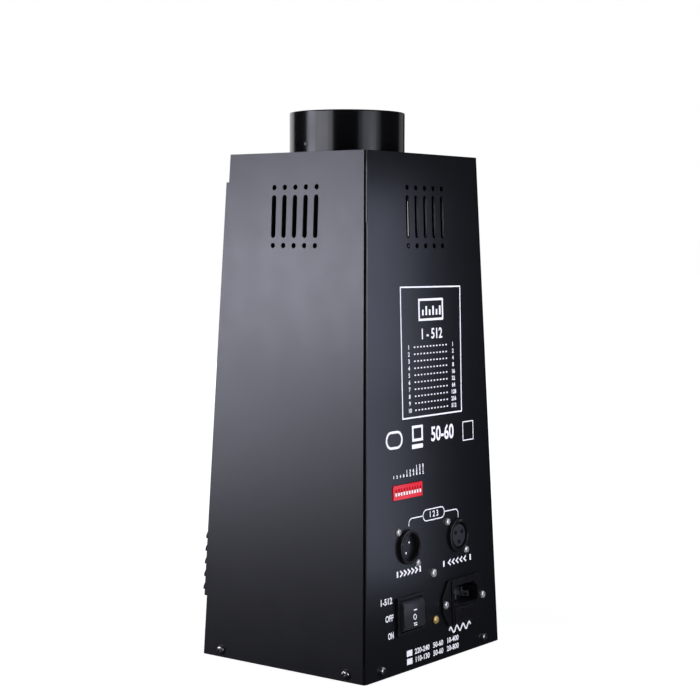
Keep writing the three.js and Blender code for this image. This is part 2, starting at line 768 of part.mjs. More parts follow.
// The supply box, with its long upper edges bevelled.
function makeSupply() {
  const seat = sheet + restGap;
  const half = (supplyOuter - supplyInner) / 2;
  const top = seat + supply.height;
  const section = [
    [-half, seat],
    [half, seat],
    [half, top - supply.chamfer],
    [half - supply.chamfer, top],
    [-half + supply.chamfer, top],
    [-half, top - supply.chamfer],
  ];
  const caseSolid = pushed(section, -supply.depth / 2, supply.depth / 2).rotateX(quarter);
  piece("power_supply", caseSolid, finish.steel).position.set(-(supplyOuter + supplyInner) / 2, supply.y, 0);
}

// Place of the latch across the door, from the door's closing edge.
function latchX() {
  return halfFaceAt(latch.rise) - latch.inset;
}

// The door tray: a pressed sheet with its four edges turned back, and louvres near its foot.
function makeDoor() {
  const back = restGap;
  const front = restGap + door.stand;
  const shell = cut(pushed(faceOutline(door.edge, door.foot, door.head), back, front), [
    pushed(
      faceOutline(door.edge + door.sheet, door.foot + door.sheet, door.head - door.sheet),
      back - overrun,
      front - door.sheet,
    ),
  ]);
  const hoods = [];
  const wells = [];
  for (let i = 0; i < louvre.count; i += 1) {
    const low = louvre.first + i * louvre.pitch;
    const half = halfFaceAt(low + louvre.height) - louvre.edge;
    hoods.push(drawn(hoodOutline(low, front, louvre.height, louvre.rise, front - door.sheet / 2, 0), half));
    wells.push(
      drawn(
        hoodOutline(low, front, louvre.height - louvre.wall, louvre.rise - louvre.wall, back, louvre.wall),
        half - louvre.wall,
      ),
    );
  }
  const shaft = bar(latch.shaft + runGap, -overrun, front + overrun, smallSides).translate(latchX(), latch.rise, 0);
  piece("access_door", cut(join([shell, ...hoods]), [...wells, shaft]), finish.black, onWall.front);
}
// The section of a louvre's hood: a quarter oval from the sheet down to its open mouth.
function hoodOutline(low, front, height, rise, back, mouth) {
  const points = [[low - mouth, back], [low + height, back]];
  for (let i = 0; i <= louvre.arcSteps; i += 1) {
    const angle = quarter * (1 - i / louvre.arcSteps);
    points.push([low + height * Math.sin(angle), front + rise * Math.cos(angle)]);
  }
  if (mouth > 0) points.push([low - mouth, front + rise]);
  return points;
}

// The frame of a hinge: X inwards along the face, Y up the housing's corner, Z outwards.
function hingeFrame(rise) {
  const corner = new THREE.Vector3(-halfFaceAt(rise), rise, 0);
  const above = new THREE.Vector3(-halfFaceAt(rise + overrun), rise + overrun, 0);
  const alongEdge = above.sub(corner).normalize();
  const outwards = new THREE.Vector3(0, 0, 1);
  const inwards = new THREE.Vector3().crossVectors(alongEdge, outwards);
  return new THREE.Matrix4().makeBasis(inwards, alongEdge, outwards).setPosition(corner);
}
// A knuckle or pin along the hinge's axis.
function alongHinge(radius, y0, y1, sides) {
  return bar(radius, y0, y1, sides).rotateX(-quarter).translate(-hinge.out, 0, hinge.stand);
}
function makeHinge() {
  const length = hinge.head - hinge.foot;
  const half = length / 2;
  const pitch = length / knuckleCount;
  const leafIn = -restGap;
  const leafOut = -restGap - hinge.leaf;
  const fixedTop = hinge.stand - hinge.radius - restGap * 2;
  const plateLow = restGap + door.stand + restGap;
  const plateHigh = plateLow + hinge.leaf;
  const fixed = [box(leafOut, leafIn, -half, half, -hinge.reach, fixedTop)];
  const moving = [box(hingeLeafClear, hinge.reach, -half, half, plateLow, plateHigh)];
  for (let i = 0; i < knuckleCount; i += 1) {
    const y0 = -half + i * pitch + (i > 0 ? restGap : 0);
    const y1 = -half + (i + 1) * pitch;
    const knuckle = alongHinge(hinge.radius, y0, y1, screwSides);
    if (i % 2 === 0) {
      fixed.push(knuckle, box(leafOut, leafIn, y0, y1, fixedTop - restGap, hinge.stand));
    } else {
      moving.push(
        knuckle,
        box(-hinge.out, hingeLeafClear + restGap, y0, y1, plateLow, plateHigh),
        box(-hinge.out, -hinge.out + hinge.radius / 2, y0, y1, hinge.stand + hinge.radius / 2, plateHigh),
      );
    }
  }
  const bore = alongHinge(hinge.bore, -length, length, screwSides);
  const pin = alongHinge(hinge.pin, -half, half, screwSides);
  const frame = hingeFrame(hinge.foot + half);
  const parts = {
    hinge_leaf_frame: cut(join(fixed), [bore]),
    hinge_leaf_door: cut(join(moving), [bore]),
    hinge_pin: pin,
  };
  for (const [name, geometry] of Object.entries(parts)) {
    piece(name, geometry.applyMatrix4(frame), name === "hinge_pin" ? finish.steel : finish.black, onWall.front);
  }
}

// The latch: a thumb knob outside the door and a cam behind the front panel's edge.
function makeLatch() {
  const face = restGap + door.stand + restGap;
  const camHigh = -sheet - camBehind;
  const camLow = camHigh - latch.cam;
  const knob = join([
    bar(latch.shaft, camHigh + restGap, face + latch.disc, smallSides),
    bar(latch.knob, face, face + latch.disc, tubeSides),
    slab(latch.bar, latch.knob * 2 - latch.bar, face, face + latch.disc + latch.barHeight),
  ]);
  piece("latch_knob", knob, finish.plastic, onWall.front).position.set(latchX(), latch.rise, 0);
  const half = latch.camWidth / 2;
  const cam = join([
    bar(half, camLow, camHigh, smallSides),
    box(-half, half, -latch.camReach, 0, camLow, camHigh),
  ]);
  piece("latch_cam", cam, finish.steel, onWall.front).position.set(latchX(), latch.rise, 0);
}

// The two sockets' places across the back: the inlet socket first.
function socketPlaces() {
  return [-socket.x + socket.shift, socket.x + socket.shift];
}
// The round body of a socket, with the flange behind the panel.
function socketBody() {
  const behind = -sheet - restGap;
  return join([
    bar(socket.nose, behind - socketFlange.thickness, socket.proud, tubeSides),
    slab(socketFlange.halfWidth * 2, socketFlange.halfHeight * 2, behind - socketFlange.thickness, behind),
    bar(socket.rear, -socket.depth, behind, tubeSides),
  ]);
}
function makeSockets() {
  const [inX, outX] = socketPlaces();
  const cup = bar(socket.cup, -socket.cupDepth, socket.proud + overrun, tubeSides);
  piece("signal_in_socket", cut(socketBody(), [cup]), finish.plastic, onWall.back)
    .position.set(inX, socket.rise, 0);

  const spots = Array.from({ length: socketPins.count }, (_, i) => {
    const angle = socketPins.firstAngle + (i * 2 * Math.PI) / socketPins.count;
    return [socketPins.circle * Math.cos(angle), socketPins.circle * Math.sin(angle)];
  });
  const pinFoot = -socket.cupDepth + restGap;
  const pins = spots.map(([x, y]) =>
    bar(socketPins.radius, pinFoot, pinFoot + socketPins.length, screwSides).translate(x, y, 0),
  );
  const disc = bar(socket.cup - restGap, pinFoot, pinFoot + socketPins.disc, tubeSides);
  piece("signal_in_pins", join([disc, ...pins]), finish.steel, onWall.back).position.set(inX, socket.rise, 0);

  const face = socket.proud - socketInsert.step;
  const groove = turned(
    [
      [socketInsert.radius, -socketInsert.groove],
      [socket.cup, -socketInsert.groove],
      [socket.cup, socket.proud + overrun],
      [socketInsert.radius, socket.proud + overrun],
    ],
    tubeSides,
  );
  const tools = [
    groove,
    bar(socketInsert.radius + restGap, face, socket.proud + overrun, tubeSides),
    ...spots.map(([x, y]) =>
      bar(socketInsert.hole, face - socketInsert.holeDepth, face + overrun, screwSides).translate(-x, y, 0),
    ),
  ];
  piece("signal_out_socket", cut(socketBody(), tools), finish.plastic, onWall.back)
    .position.set(outX, socket.rise, 0);
}

// The places of the slide switches across their block.
function sliderPlaces() {
  return Array.from({ length: slider.count }, (_, i) => (i - (slider.count - 1) / 2) * slider.pitch);
}
function makeSwitchBlock() {
  const slotHeight = slider.height + slider.travel + slider.play * 2;
  const floor = block.proud - slider.depth;
  const slots = sliderPlaces().map((x) =>
    slab(slider.width + slider.play * 2, slotHeight, floor, block.proud + overrun).translate(x, 0, 0),
  );
  const body = slab(block.width, block.height, -block.depth, block.proud);
  const group = new THREE.Group();
  group.position.set(block.x, block.rise, 0);
  onWall.back.add(group);
  piece("switch_block", cut(body, slots), finish.red, group);
  sliderPlaces().forEach((x, i) => {
    const nib = slab(slider.width, slider.height, floor + slider.play, block.proud + slider.proud);
    piece(`slide_switch_${i + 1}`, nib, finish.white, group).position.set(x, -slider.travel / 2, 0);
  });
}

// The control board behind the slide switches, its parts and its four posts.
function makeBoard() {
  const high = -block.depth - restGap;
  const low = high - board.thickness;
  const middle = (board.foot + board.head) / 2;
  const relay = slab(chips.relayWidth, chips.relayDepth, low - chips.relayHeight, low + restGap);
  const chip = slab(chips.chipWidth, chips.chipDepth, low - chips.chipHeight, low + restGap);
  const pieces = [
    box(-board.halfWidth, board.halfWidth, board.foot, board.head, low, high),
    ...[-1, 1].map((side) => relay.clone().translate(side * chips.relayWidth * 2, middle + chips.relayDepth, 0)),
    chip.clone().translate(0, middle - chips.relayDepth, 0),
  ];
  for (const x of [-1, 1]) {
    for (const rise of [board.foot + board.postInset, board.head - board.postInset]) {
      pieces.push(
        bar(board.post, high - restGap, -sheet - restGap, screwSides)
          .translate(x * (board.halfWidth - board.postInset), rise, 0),
      );
    }
  }
  piece("control_board", join(pieces), finish.green, onWall.back);
}

// The rocker switch: a rimmed tub through the panel and a paddle that rocks in it.
function makeRocker() {
  const wellWidth = paddle.width + paddle.sideGap * 2;
  const wellHeight = (paddle.reach + runGap) * 2;
  const tabs = [-1, 0, 1].map((i) =>
    slab(switchTab.width, switchTab.thickness, -rocker.tubDepth - switchTab.length, -rocker.tubDepth + restGap)
      .translate(0, i * switchTab.spread, 0),
  );
  const body = join([
    slab(rocker.width, rocker.height, restGap, restGap + rocker.rim),
    slab(rocker.tubWidth, rocker.tubHeight, -rocker.tubDepth, restGap * 2),
    ...tabs,
  ]);
  const well = slab(wellWidth, wellHeight, -paddleRoom, rocker.rim + overrun);
  piece("rocker_bezel", cut(body, [well]), finish.plastic, onWall.back).position.set(rocker.x, rocker.rise, 0);

  const lowAngle = Math.asin(-paddle.below / paddle.reach);
  const highAngle = Math.asin(paddle.end / paddle.reach);
  const side = [];
  for (let i = 0; i <= paddle.arcSteps; i += 1) {
    const angle = lowAngle + ((highAngle - lowAngle) * i) / paddle.arcSteps;
    side.push([paddle.reach * Math.cos(angle), paddle.reach * Math.sin(angle)]);
  }
  const outline = [...side, [0, paddle.dip], ...side.reverse().map(([x, y]) => [-x, y])];
  piece("rocker_paddle", drawn(outline, paddle.width / 2), finish.plastic, onWall.back)
    .position.set(rocker.x, rocker.rise, 0);
}

// The mains inlet: a flanged body with a well for the plug, three blades and a fuse drawer.
function makeInlet() {
  const group = new THREE.Group();
  group.position.set(inlet.x, inlet.rise, 0);
  onWall.back.add(group);
  const flangeOutline = [];
  for (const [x, y] of [[1, -1], [1, 1], [-1, 1], [-1, -1]]) {
    const ear = [x * inlet.earX, y * inlet.earRise];
    const corner = [x * inlet.halfWidth, y * inlet.halfHeight];
    flangeOutline.push(...(x * y < 0 ? [corner, ear] : [ear, corner]));
  }
  const face = restGap + inlet.flange + inlet.raised;
  const plate = pushed(flangeOutline, restGap, restGap + inlet.flange);
  const body = slab(inletBody.halfWidth * 2, inletBody.halfHeight * 2, -inletBody.depth, face);
  const w = inletWell.width / 2;
  const h = inletWell.height / 2;
  const c = inletWell.corner;
  const well = pushed([[-w, -h], [w, -h], [w, h - c], [w - c, h], [-w + c, h], [-w, h - c]], -inletWell.depth, face + overrun)
    .translate(0, inletWell.middle, 0);
  const bay = slab(drawer.width + restGap * 2, drawer.height + restGap * 2, -drawer.depth - restGap, face + overrun)
    .translate(0, drawer.middle, 0);
  piece("mains_inlet", cut(join([plate, body]), [well, bay]), finish.plastic, group);

  const foot = -inletWell.depth + restGap;
  const spots = [[-blade.spread, blade.low], [0, blade.high], [blade.spread, blade.low]];
  const blades = spots.map(([x, y]) =>
    slab(blade.width, blade.height, foot, foot + blade.length).translate(x, inletWell.middle + y, 0),
  );
  const carrier = slab((blade.spread + blade.width) * 2, blade.height * 2, foot, foot + blade.plate)
    .translate(0, inletWell.middle, 0);
  piece("inlet_blades", join([carrier, ...blades]), finish.steel, group);

  const front = face + drawer.proud;
  const shell = join([
    slab(drawer.width, drawer.height, -drawer.depth, front),
    slab(drawer.width / 2, drawer.lip, front - restGap, front + drawer.lipHeight)
      .translate(0, drawer.height / 2 - drawer.lip, 0),
  ]);
  const trough = box(
    -fuse.length / 2 - restGap,
    fuse.length / 2 + restGap,
    -fuse.trough,
    drawer.height,
    -fuse.behind - fuse.trough,
    -fuse.behind + fuse.trough,
  );
  piece("fuse_drawer", cut(shell, [trough]), finish.plastic, group).position.set(0, drawer.middle, 0);
  const glass = bar(fuse.radius, -fuse.length / 2, fuse.length / 2, smallSides).rotateY(quarter);
  piece("fuse", glass, finish.glass, group).position.set(0, drawer.middle, -fuse.behind);
}

// The earth screw with its washer, and the green lead to the inlet's earth blade.
function makeEarth() {
  const stud = join([
    screw(earth),
    bar(earth.washer, -earth.length + overrun, -earth.length + overrun + earth.washerThickness, smallSides),
  ]);
  piece("earth_screw", stud, finish.brass, onWall.back).position.set(earth.x, earth.rise, restGap);
  const start = restGap - earth.length - restGap;
  const end = [inlet.x, inlet.rise + inletWell.middle + blade.high, -inletBody.depth - restGap];
  const lead = wire(
    [
      [earth.x, earth.rise, start],
      [earth.x, earth.rise, start - earthLead.run],
      [(earth.x + end[0]) / 2, (earth.rise + end[1]) / 2, (start + end[2]) / 2 - earthLead.run],
      [end[0], end[1], end[2] - earthLead.run],
      end,
    ],
    earthLead.radius,
    20,
  );
  piece("earth_lead", lead, finish.earthGreen, onWall.back);
}

makeBase();
makeSide("side_panel_right", "right", 1);
makeSide("side_panel_left", "left", -1);
makeBack();
makeFront();
makeTop();
makeFlue();
makeBurner();
makeShelf();
makeCan();
makeJet();
makeLever();
makeCoil();
makeSupply();
makeDoor();
makeHinge();
makeLatch();
makeSockets();
makeSwitchBlock();
makeBoard();
makeRocker();
makeInlet();
makeEarth();

export default machine;
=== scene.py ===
"""Dresses a stage flame machine: its coats, printing, small screws, light and camera.

Lengths in the classes are millimetres unless a docstring says otherwise, and every mesh is
stored in metres. Pieces on a wall are placed in that wall's own frame: X to the right as the
wall is faced, Y up its slope and Z outwards.
"""

import json
import logging
import math
from collections.abc import Callable, Sequence
from dataclasses import dataclass, field
from enum import Enum

import bmesh
import bpy
from mathutils import Matrix, Vector

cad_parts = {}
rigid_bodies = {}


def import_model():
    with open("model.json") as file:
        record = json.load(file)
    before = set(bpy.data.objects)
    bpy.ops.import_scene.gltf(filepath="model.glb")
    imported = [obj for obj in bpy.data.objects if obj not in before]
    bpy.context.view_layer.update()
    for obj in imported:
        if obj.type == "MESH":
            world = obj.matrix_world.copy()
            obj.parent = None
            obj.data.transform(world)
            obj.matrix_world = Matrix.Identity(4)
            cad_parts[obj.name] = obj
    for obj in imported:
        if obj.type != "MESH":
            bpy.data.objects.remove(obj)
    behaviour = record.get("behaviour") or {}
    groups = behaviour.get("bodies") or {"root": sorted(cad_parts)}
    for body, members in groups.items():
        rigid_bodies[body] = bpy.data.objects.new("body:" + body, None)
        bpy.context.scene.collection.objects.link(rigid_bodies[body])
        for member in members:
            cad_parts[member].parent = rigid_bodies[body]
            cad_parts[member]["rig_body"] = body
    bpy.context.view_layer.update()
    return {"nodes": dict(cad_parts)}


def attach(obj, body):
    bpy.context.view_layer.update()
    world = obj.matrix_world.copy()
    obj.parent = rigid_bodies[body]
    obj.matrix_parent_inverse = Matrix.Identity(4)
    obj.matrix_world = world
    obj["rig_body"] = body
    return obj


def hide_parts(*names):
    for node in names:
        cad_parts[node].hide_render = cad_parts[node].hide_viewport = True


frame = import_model()
LOG = logging.getLogger("flame_machine")
MM = 0.001
HEIGHT = 360.0  # of the housing
HALF_WIDTH, LEAN_WIDE = 83.0, 16.0  # at the floor, and how much less it is at the top
HALF_DEPTH, LEAN_DEEP = 73.0, 12.5
FLUE = Matrix.Translation((0, -7.25 * MM, 0)) @ Matrix.Scale(MM, 4)  # the barrel's own millimetres
SOFT_ANGLE = math.radians(38)  # edges below it are shaded smooth
ROUNDED_ANGLE = math.radians(32)  # edges above it are rounded
LONG_EDGE = 200 * MM  # only the housing's upright edges are longer
HOUSING, ROCKER = "housing", "rocker"  # bodies that extra pieces ride on
Triple = tuple[float, float, float]
Point = tuple[float, float]
Tree, Node, Thing, EditMesh = bpy.types.NodeTree, bpy.types.Node, bpy.types.Object, bmesh.types.BMesh


class Wall(Enum):
    """A leaning wall: its turn about the upright axis, its reach at the floor and its lean."""

    FRONT = (0.0, HALF_DEPTH, LEAN_DEEP)
    RIGHT = (math.pi / 2, HALF_WIDTH, LEAN_WIDE)
    BACK = (math.pi, HALF_DEPTH, LEAN_DEEP)
    LEFT = (-math.pi / 2, HALF_WIDTH, LEAN_WIDE)

    def frame(self) -> Matrix:
        """Finds the way from the wall's own millimetres to metres.

        Returns:
            The matrix, in the shared frame.
        """
        turn, reach, inset = self.value
        tilt = math.pi / 2 - math.atan(inset / HEIGHT)
        return (
            Matrix.Rotation(turn, 4, "Z")
            @ Matrix.Translation((0, -reach * MM, 0))
            @ Matrix.Rotation(tilt, 4, "X")
            @ Matrix.Scale(MM, 4)
        )

    def spot(self, x: float, rise: float, stand: float = 0.0) -> Matrix:
        """The same matrix, moved to a place on the wall."""
        return self.frame() @ Matrix.Translation((x, rise, stand))


def fill(node: Node, values: dict[str | int, object]) -> None:
    """Sets what a node's unlinked inputs hold."""
    for socket, value in values.items():
        node.inputs[socket].default_value = value


def add_node(tree: Tree, kind: str, values: dict[str | int, object] | None = None, **settings: object) -> Node:
    """Adds a node to a tree.

    Args:
        tree: the node tree.
        kind: the node's type.
        values: what its unlinked inputs hold.
        settings: its own properties.

    Returns:
        The new node.
    """
    node = tree.nodes.new(kind)
    for key, value in settings.items():
        setattr(node, key, value)
    fill(node, values or {})
    return node


def link(tree: Tree, *ties: tuple[Node, str | int, Node, str | int]) -> None:
    """Links nodes, each tie given as a node, its output, the next node and its input."""
    for start, output, end, socket in ties:
        tree.links.new(start.outputs[output], end.inputs[socket])


def noise(tree: Tree, scale: float, detail: float) -> Node:
    """Adds a noise that stays with the object.

    Args:
        tree: the node tree.
        scale: how fine it is.
        detail: its octaves.

    Returns:
        The noise node.
    """
    node = add_node(tree, "ShaderNodeTexNoise", {"Scale": scale, "Detail": detail})
    link(tree, (add_node(tree, "ShaderNodeTexCoord"), "Object", node, "Vector"))
    return node


class Groups:
    """Builds the shared shader node groups once and hands them out."""

    def __init__(self) -> None:
        """Makes the groups for grain, worn edges and settled dust."""
        self.grain = self._grain()
        self.wear = self._wear()
        self.dust = self._dust()

    @staticmethod
    def _start(name: str, inputs: dict[str, str], output: tuple[str, str]) -> Tree:
        """Makes an empty group with its sockets.

        Args:
            name: the group's name.
            inputs: socket kinds by name.
            output: the name and kind of the one output.

        Returns:
            The new node tree.
        """
        tree = bpy.data.node_groups.new(name, "ShaderNodeTree")
        for label, kind in inputs.items():
            tree.interface.new_socket(label, in_out="INPUT", socket_type="NodeSocket" + kind)
        tree.interface.new_socket(output[0], in_out="OUTPUT", socket_type="NodeSocket" + output[1])
        add_node(tree, "NodeGroupInput", name="in")
        add_node(tree, "NodeGroupOutput", name="out")
        return tree

    @staticmethod
    def _blend(tree: Tree, *masks: tuple[Node, str | int]) -> Node:
        """Ends a group: its colour gives way to another where its amount and two masks are high.

        Args:
            tree: the group.
            masks: the masks, each as a node and its output.

        Returns:
            The mixing node, whose second colour is still open.
        """
        given = tree.nodes["in"]
        both = add_node(tree, "ShaderNodeMath", operation="MULTIPLY")
        share = add_node(tree, "ShaderNodeMath", operation="MULTIPLY")
        mix = add_node(tree, "ShaderNodeMix", data_type="RGBA")
        link(
            tree, *((node, output, both, i) for i, (node, output) in enumerate(masks)), (both, 0, share, 0),
            (given, "Amount", share, 1), (share, 0, mix, "Factor"), (given, "Color", mix, "A"),
            (mix, "Result", tree.nodes["out"], "Color"),
        )
        return mix

    def _grain(self) -> Tree:
        """A two-scale grain that gives a bumped normal.

        Returns:
            The group.
        """
        tree = self._start("coat_grain", {"Scale": "Float", "Depth": "Float"}, ("Normal", "Vector"))
        given = tree.nodes["in"]
        fine, broad = noise(tree, 1.0, 2.0), noise(tree, 1.0, 3.0)
        shrink = add_node(tree, "ShaderNodeMath", {1: 0.45}, operation="MULTIPLY")
        total = add_node(tree, "ShaderNodeMath", operation="ADD")
        bump = add_node(tree, "ShaderNodeBump", {"Distance": 0.0002})
        link(
            tree, (given, "Scale", fine, "Scale"), (given, "Scale", shrink, 0), (shrink, 0, broad, "Scale"),
            (fine, "Fac", total, 0), (broad, "Fac", total, 1), (total, 0, bump, "Height"),
            (given, "Depth", bump, "Strength"), (bump, "Normal", tree.nodes["out"], "Normal"),
        )
        return tree

    def _wear(self) -> Tree:
        """Rubbed colour along sharp edges, broken up by noise.

        Returns:
            The group.
        """
        tree = self._start("rubbed_edges", {"Color": "Color", "Worn": "Color", "Amount": "Float"}, ("Color", "Color"))
        edge = add_node(tree, "ShaderNodeAttribute", attribute_name="rubbed")
        patch = add_node(tree, "ShaderNodeMapRange", {"From Min": 0.42, "From Max": 0.66})
        mix = self._blend(tree, (edge, "Fac"), (patch, 0))
        link(tree, (noise(tree, 320.0, 5.0), "Fac", patch, "Value"), (tree.nodes["in"], "Worn", mix, "B"))
        return tree

    def _dust(self) -> Tree:
        """Pale dust on what faces up, and a faint unevenness everywhere.

        Returns:
            The group.
        """
        tree = self._start("settled_dust", {"Color": "Color", "Amount": "Float"}, ("Color", "Color"))
        form = add_node(tree, "ShaderNodeNewGeometry")
        split = add_node(tree, "ShaderNodeSeparateXYZ")
        upward = add_node(tree, "ShaderNodeMapRange", {"From Min": 0.3, "To Min": 0.12})
        link(tree, (form, "Normal", split, 0), (split, "Z", upward, "Value"))
        mix = self._blend(tree, (upward, 0), (noise(tree, 45.0, 6.0), "Fac"))
        fill(mix, {"B": (0.34, 0.33, 0.31, 1.0)})
        return tree


@dataclass(frozen=True)
class Finish:
    """A surface finish, from which one material is built."""

    name: str
    slot: str
    colour: Triple
    roughness: float
    metallic: float = 0.0
    specular: float = 0.5
    grain: float = 900.0
    depth: float = 0.15
    wear: float = 0.0
    worn: Triple = (0.3, 0.3, 0.31)
    dust: float = 0.04
    uneven: float = 0.08
    coat: float = 0.0
    clear: float = 0.0

    def build(self, groups: Groups) -> bpy.types.Material:
        """Builds the finish's material.

        Args:
            groups: the shared node groups.

        Returns:
            The new material.
        """
        material = bpy.data.materials.new(self.name)
        material.use_nodes = True
        tree = material.node_tree
        shader = tree.nodes["Principled BSDF"]
        fill(shader, {
            "Metallic": self.metallic, "Specular IOR Level": self.specular, "Coat Weight": self.coat,
            "Coat Roughness": 0.12, "Transmission Weight": self.clear,
        })
        colours = {"Color": (*self.colour, 1.0), "Worn": (*self.worn, 1.0), "Amount": self.wear}
        wear = add_node(tree, "ShaderNodeGroup", colours, node_tree=groups.wear)
        dust = add_node(tree, "ShaderNodeGroup", {"Amount": self.dust}, node_tree=groups.dust)
        texture = {"Scale": self.grain, "Depth": self.depth}
        grain = add_node(tree, "ShaderNodeGroup", texture, node_tree=groups.grain)
        low, high = max(0.02, self.roughness - self.uneven), min(1.0, self.roughness + self.uneven)
        spread = add_node(tree, "ShaderNodeMapRange", {"To Min": low, "To Max": high})
        link(
            tree, (wear, "Color", dust, "Color"), (dust, "Color", shader, "Base Color"),
            (grain, "Normal", shader, "Normal"), (noise(tree, 60.0, 4.0), "Fac", spread, "Value"),
            (spread, 0, shader, "Roughness"),
        )
        return material


class Coat(Enum):
    """Every finish on the machine."""

    POWDER = Finish(
        "fine_textured_powder_coat", "powder_black", (0.0035, 0.0038, 0.005), 0.34,
        grain=2200.0, depth=0.09, wear=0.3, worn=(0.1, 0.1, 0.105), uneven=0.03, dust=0.012,
    )
    BARREL = Finish(
        "heat_proof_black", "barrel_black", (0.003, 0.003, 0.0035), 0.16,
        grain=1500.0, depth=0.02, wear=0.3, uneven=0.02,
    )
    DARK_STEEL = Finish("dull_zinc", "dark_steel", (0.2, 0.2, 0.21), 0.42, metallic=0.9, grain=500.0, depth=0.1)
    SOOTED = Finish(
        "heat_blued_steel", "dark_steel", (0.022, 0.022, 0.026), 0.5, metallic=0.6, grain=500.0, depth=0.1,
    )
    BRIGHT_STEEL = Finish(
        "bright_steel", "bright_steel", (0.62, 0.62, 0.63), 0.27, metallic=1.0, grain=700.0, depth=0.06,
    )
    BRASS = Finish("turned_brass", "brass", (0.83, 0.58, 0.22), 0.4, metallic=0.8, grain=700.0, depth=0.05)
    CERAMIC = Finish("glazed_ceramic", "ceramic", (0.82, 0.79, 0.7), 0.2, depth=0.02, coat=0.6)
    CAN = Finish("can_lacquer", "can_paint", (0.6, 0.62, 0.66), 0.3, metallic=0.75, depth=0.03)
    MOULDED = Finish(
        "moulded_black_plastic", "black_plastic", (0.004, 0.004, 0.005), 0.36,
        specular=0.35, grain=1300.0, depth=0.08, wear=0.25, worn=(0.08, 0.08, 0.085),
    )
    PADDLE = Finish("satin_dark_plastic", "grey_plastic", (0.02, 0.021, 0.025), 0.4, specular=0.3, depth=0.05)
    RED = Finish("red_plastic", "red_plastic", (0.72, 0.014, 0.03), 0.35, specular=0.35, depth=0.04, dust=0.05)
    WHITE = Finish("white_plastic", "white_plastic", (0.86, 0.85, 0.82), 0.35, depth=0.03)
    RED_LEAD = Finish("red_silicone", "red_lead", (0.45, 0.02, 0.02), 0.45, depth=0.05)
    GREEN_LEAD = Finish("green_insulation", "green_lead", (0.08, 0.3, 0.04), 0.4, depth=0.05)
    BOARD = Finish("solder_resist", "green_board", (0.012, 0.12, 0.045), 0.32, depth=0.05, coat=0.3)
    GLASS = Finish("glass_tube", "clear_glass", (0.9, 0.95, 0.95), 0.05, clear=0.9, depth=0.0, dust=0.0)
    INK = Finish("white_print", "white_plastic", (0.86, 0.86, 0.88), 0.5, depth=0.02, dust=0.0, uneven=0.04)
    SCREW = Finish("bright_screw_heads", "bright_steel", (0.76, 0.76, 0.74), 0.42, metallic=0.8, depth=0.04)
    DARK_SCREW = Finish("nickel_screw_heads", "bright_steel", (0.42, 0.41, 0.4), 0.32, metallic=1.0, depth=0.05)


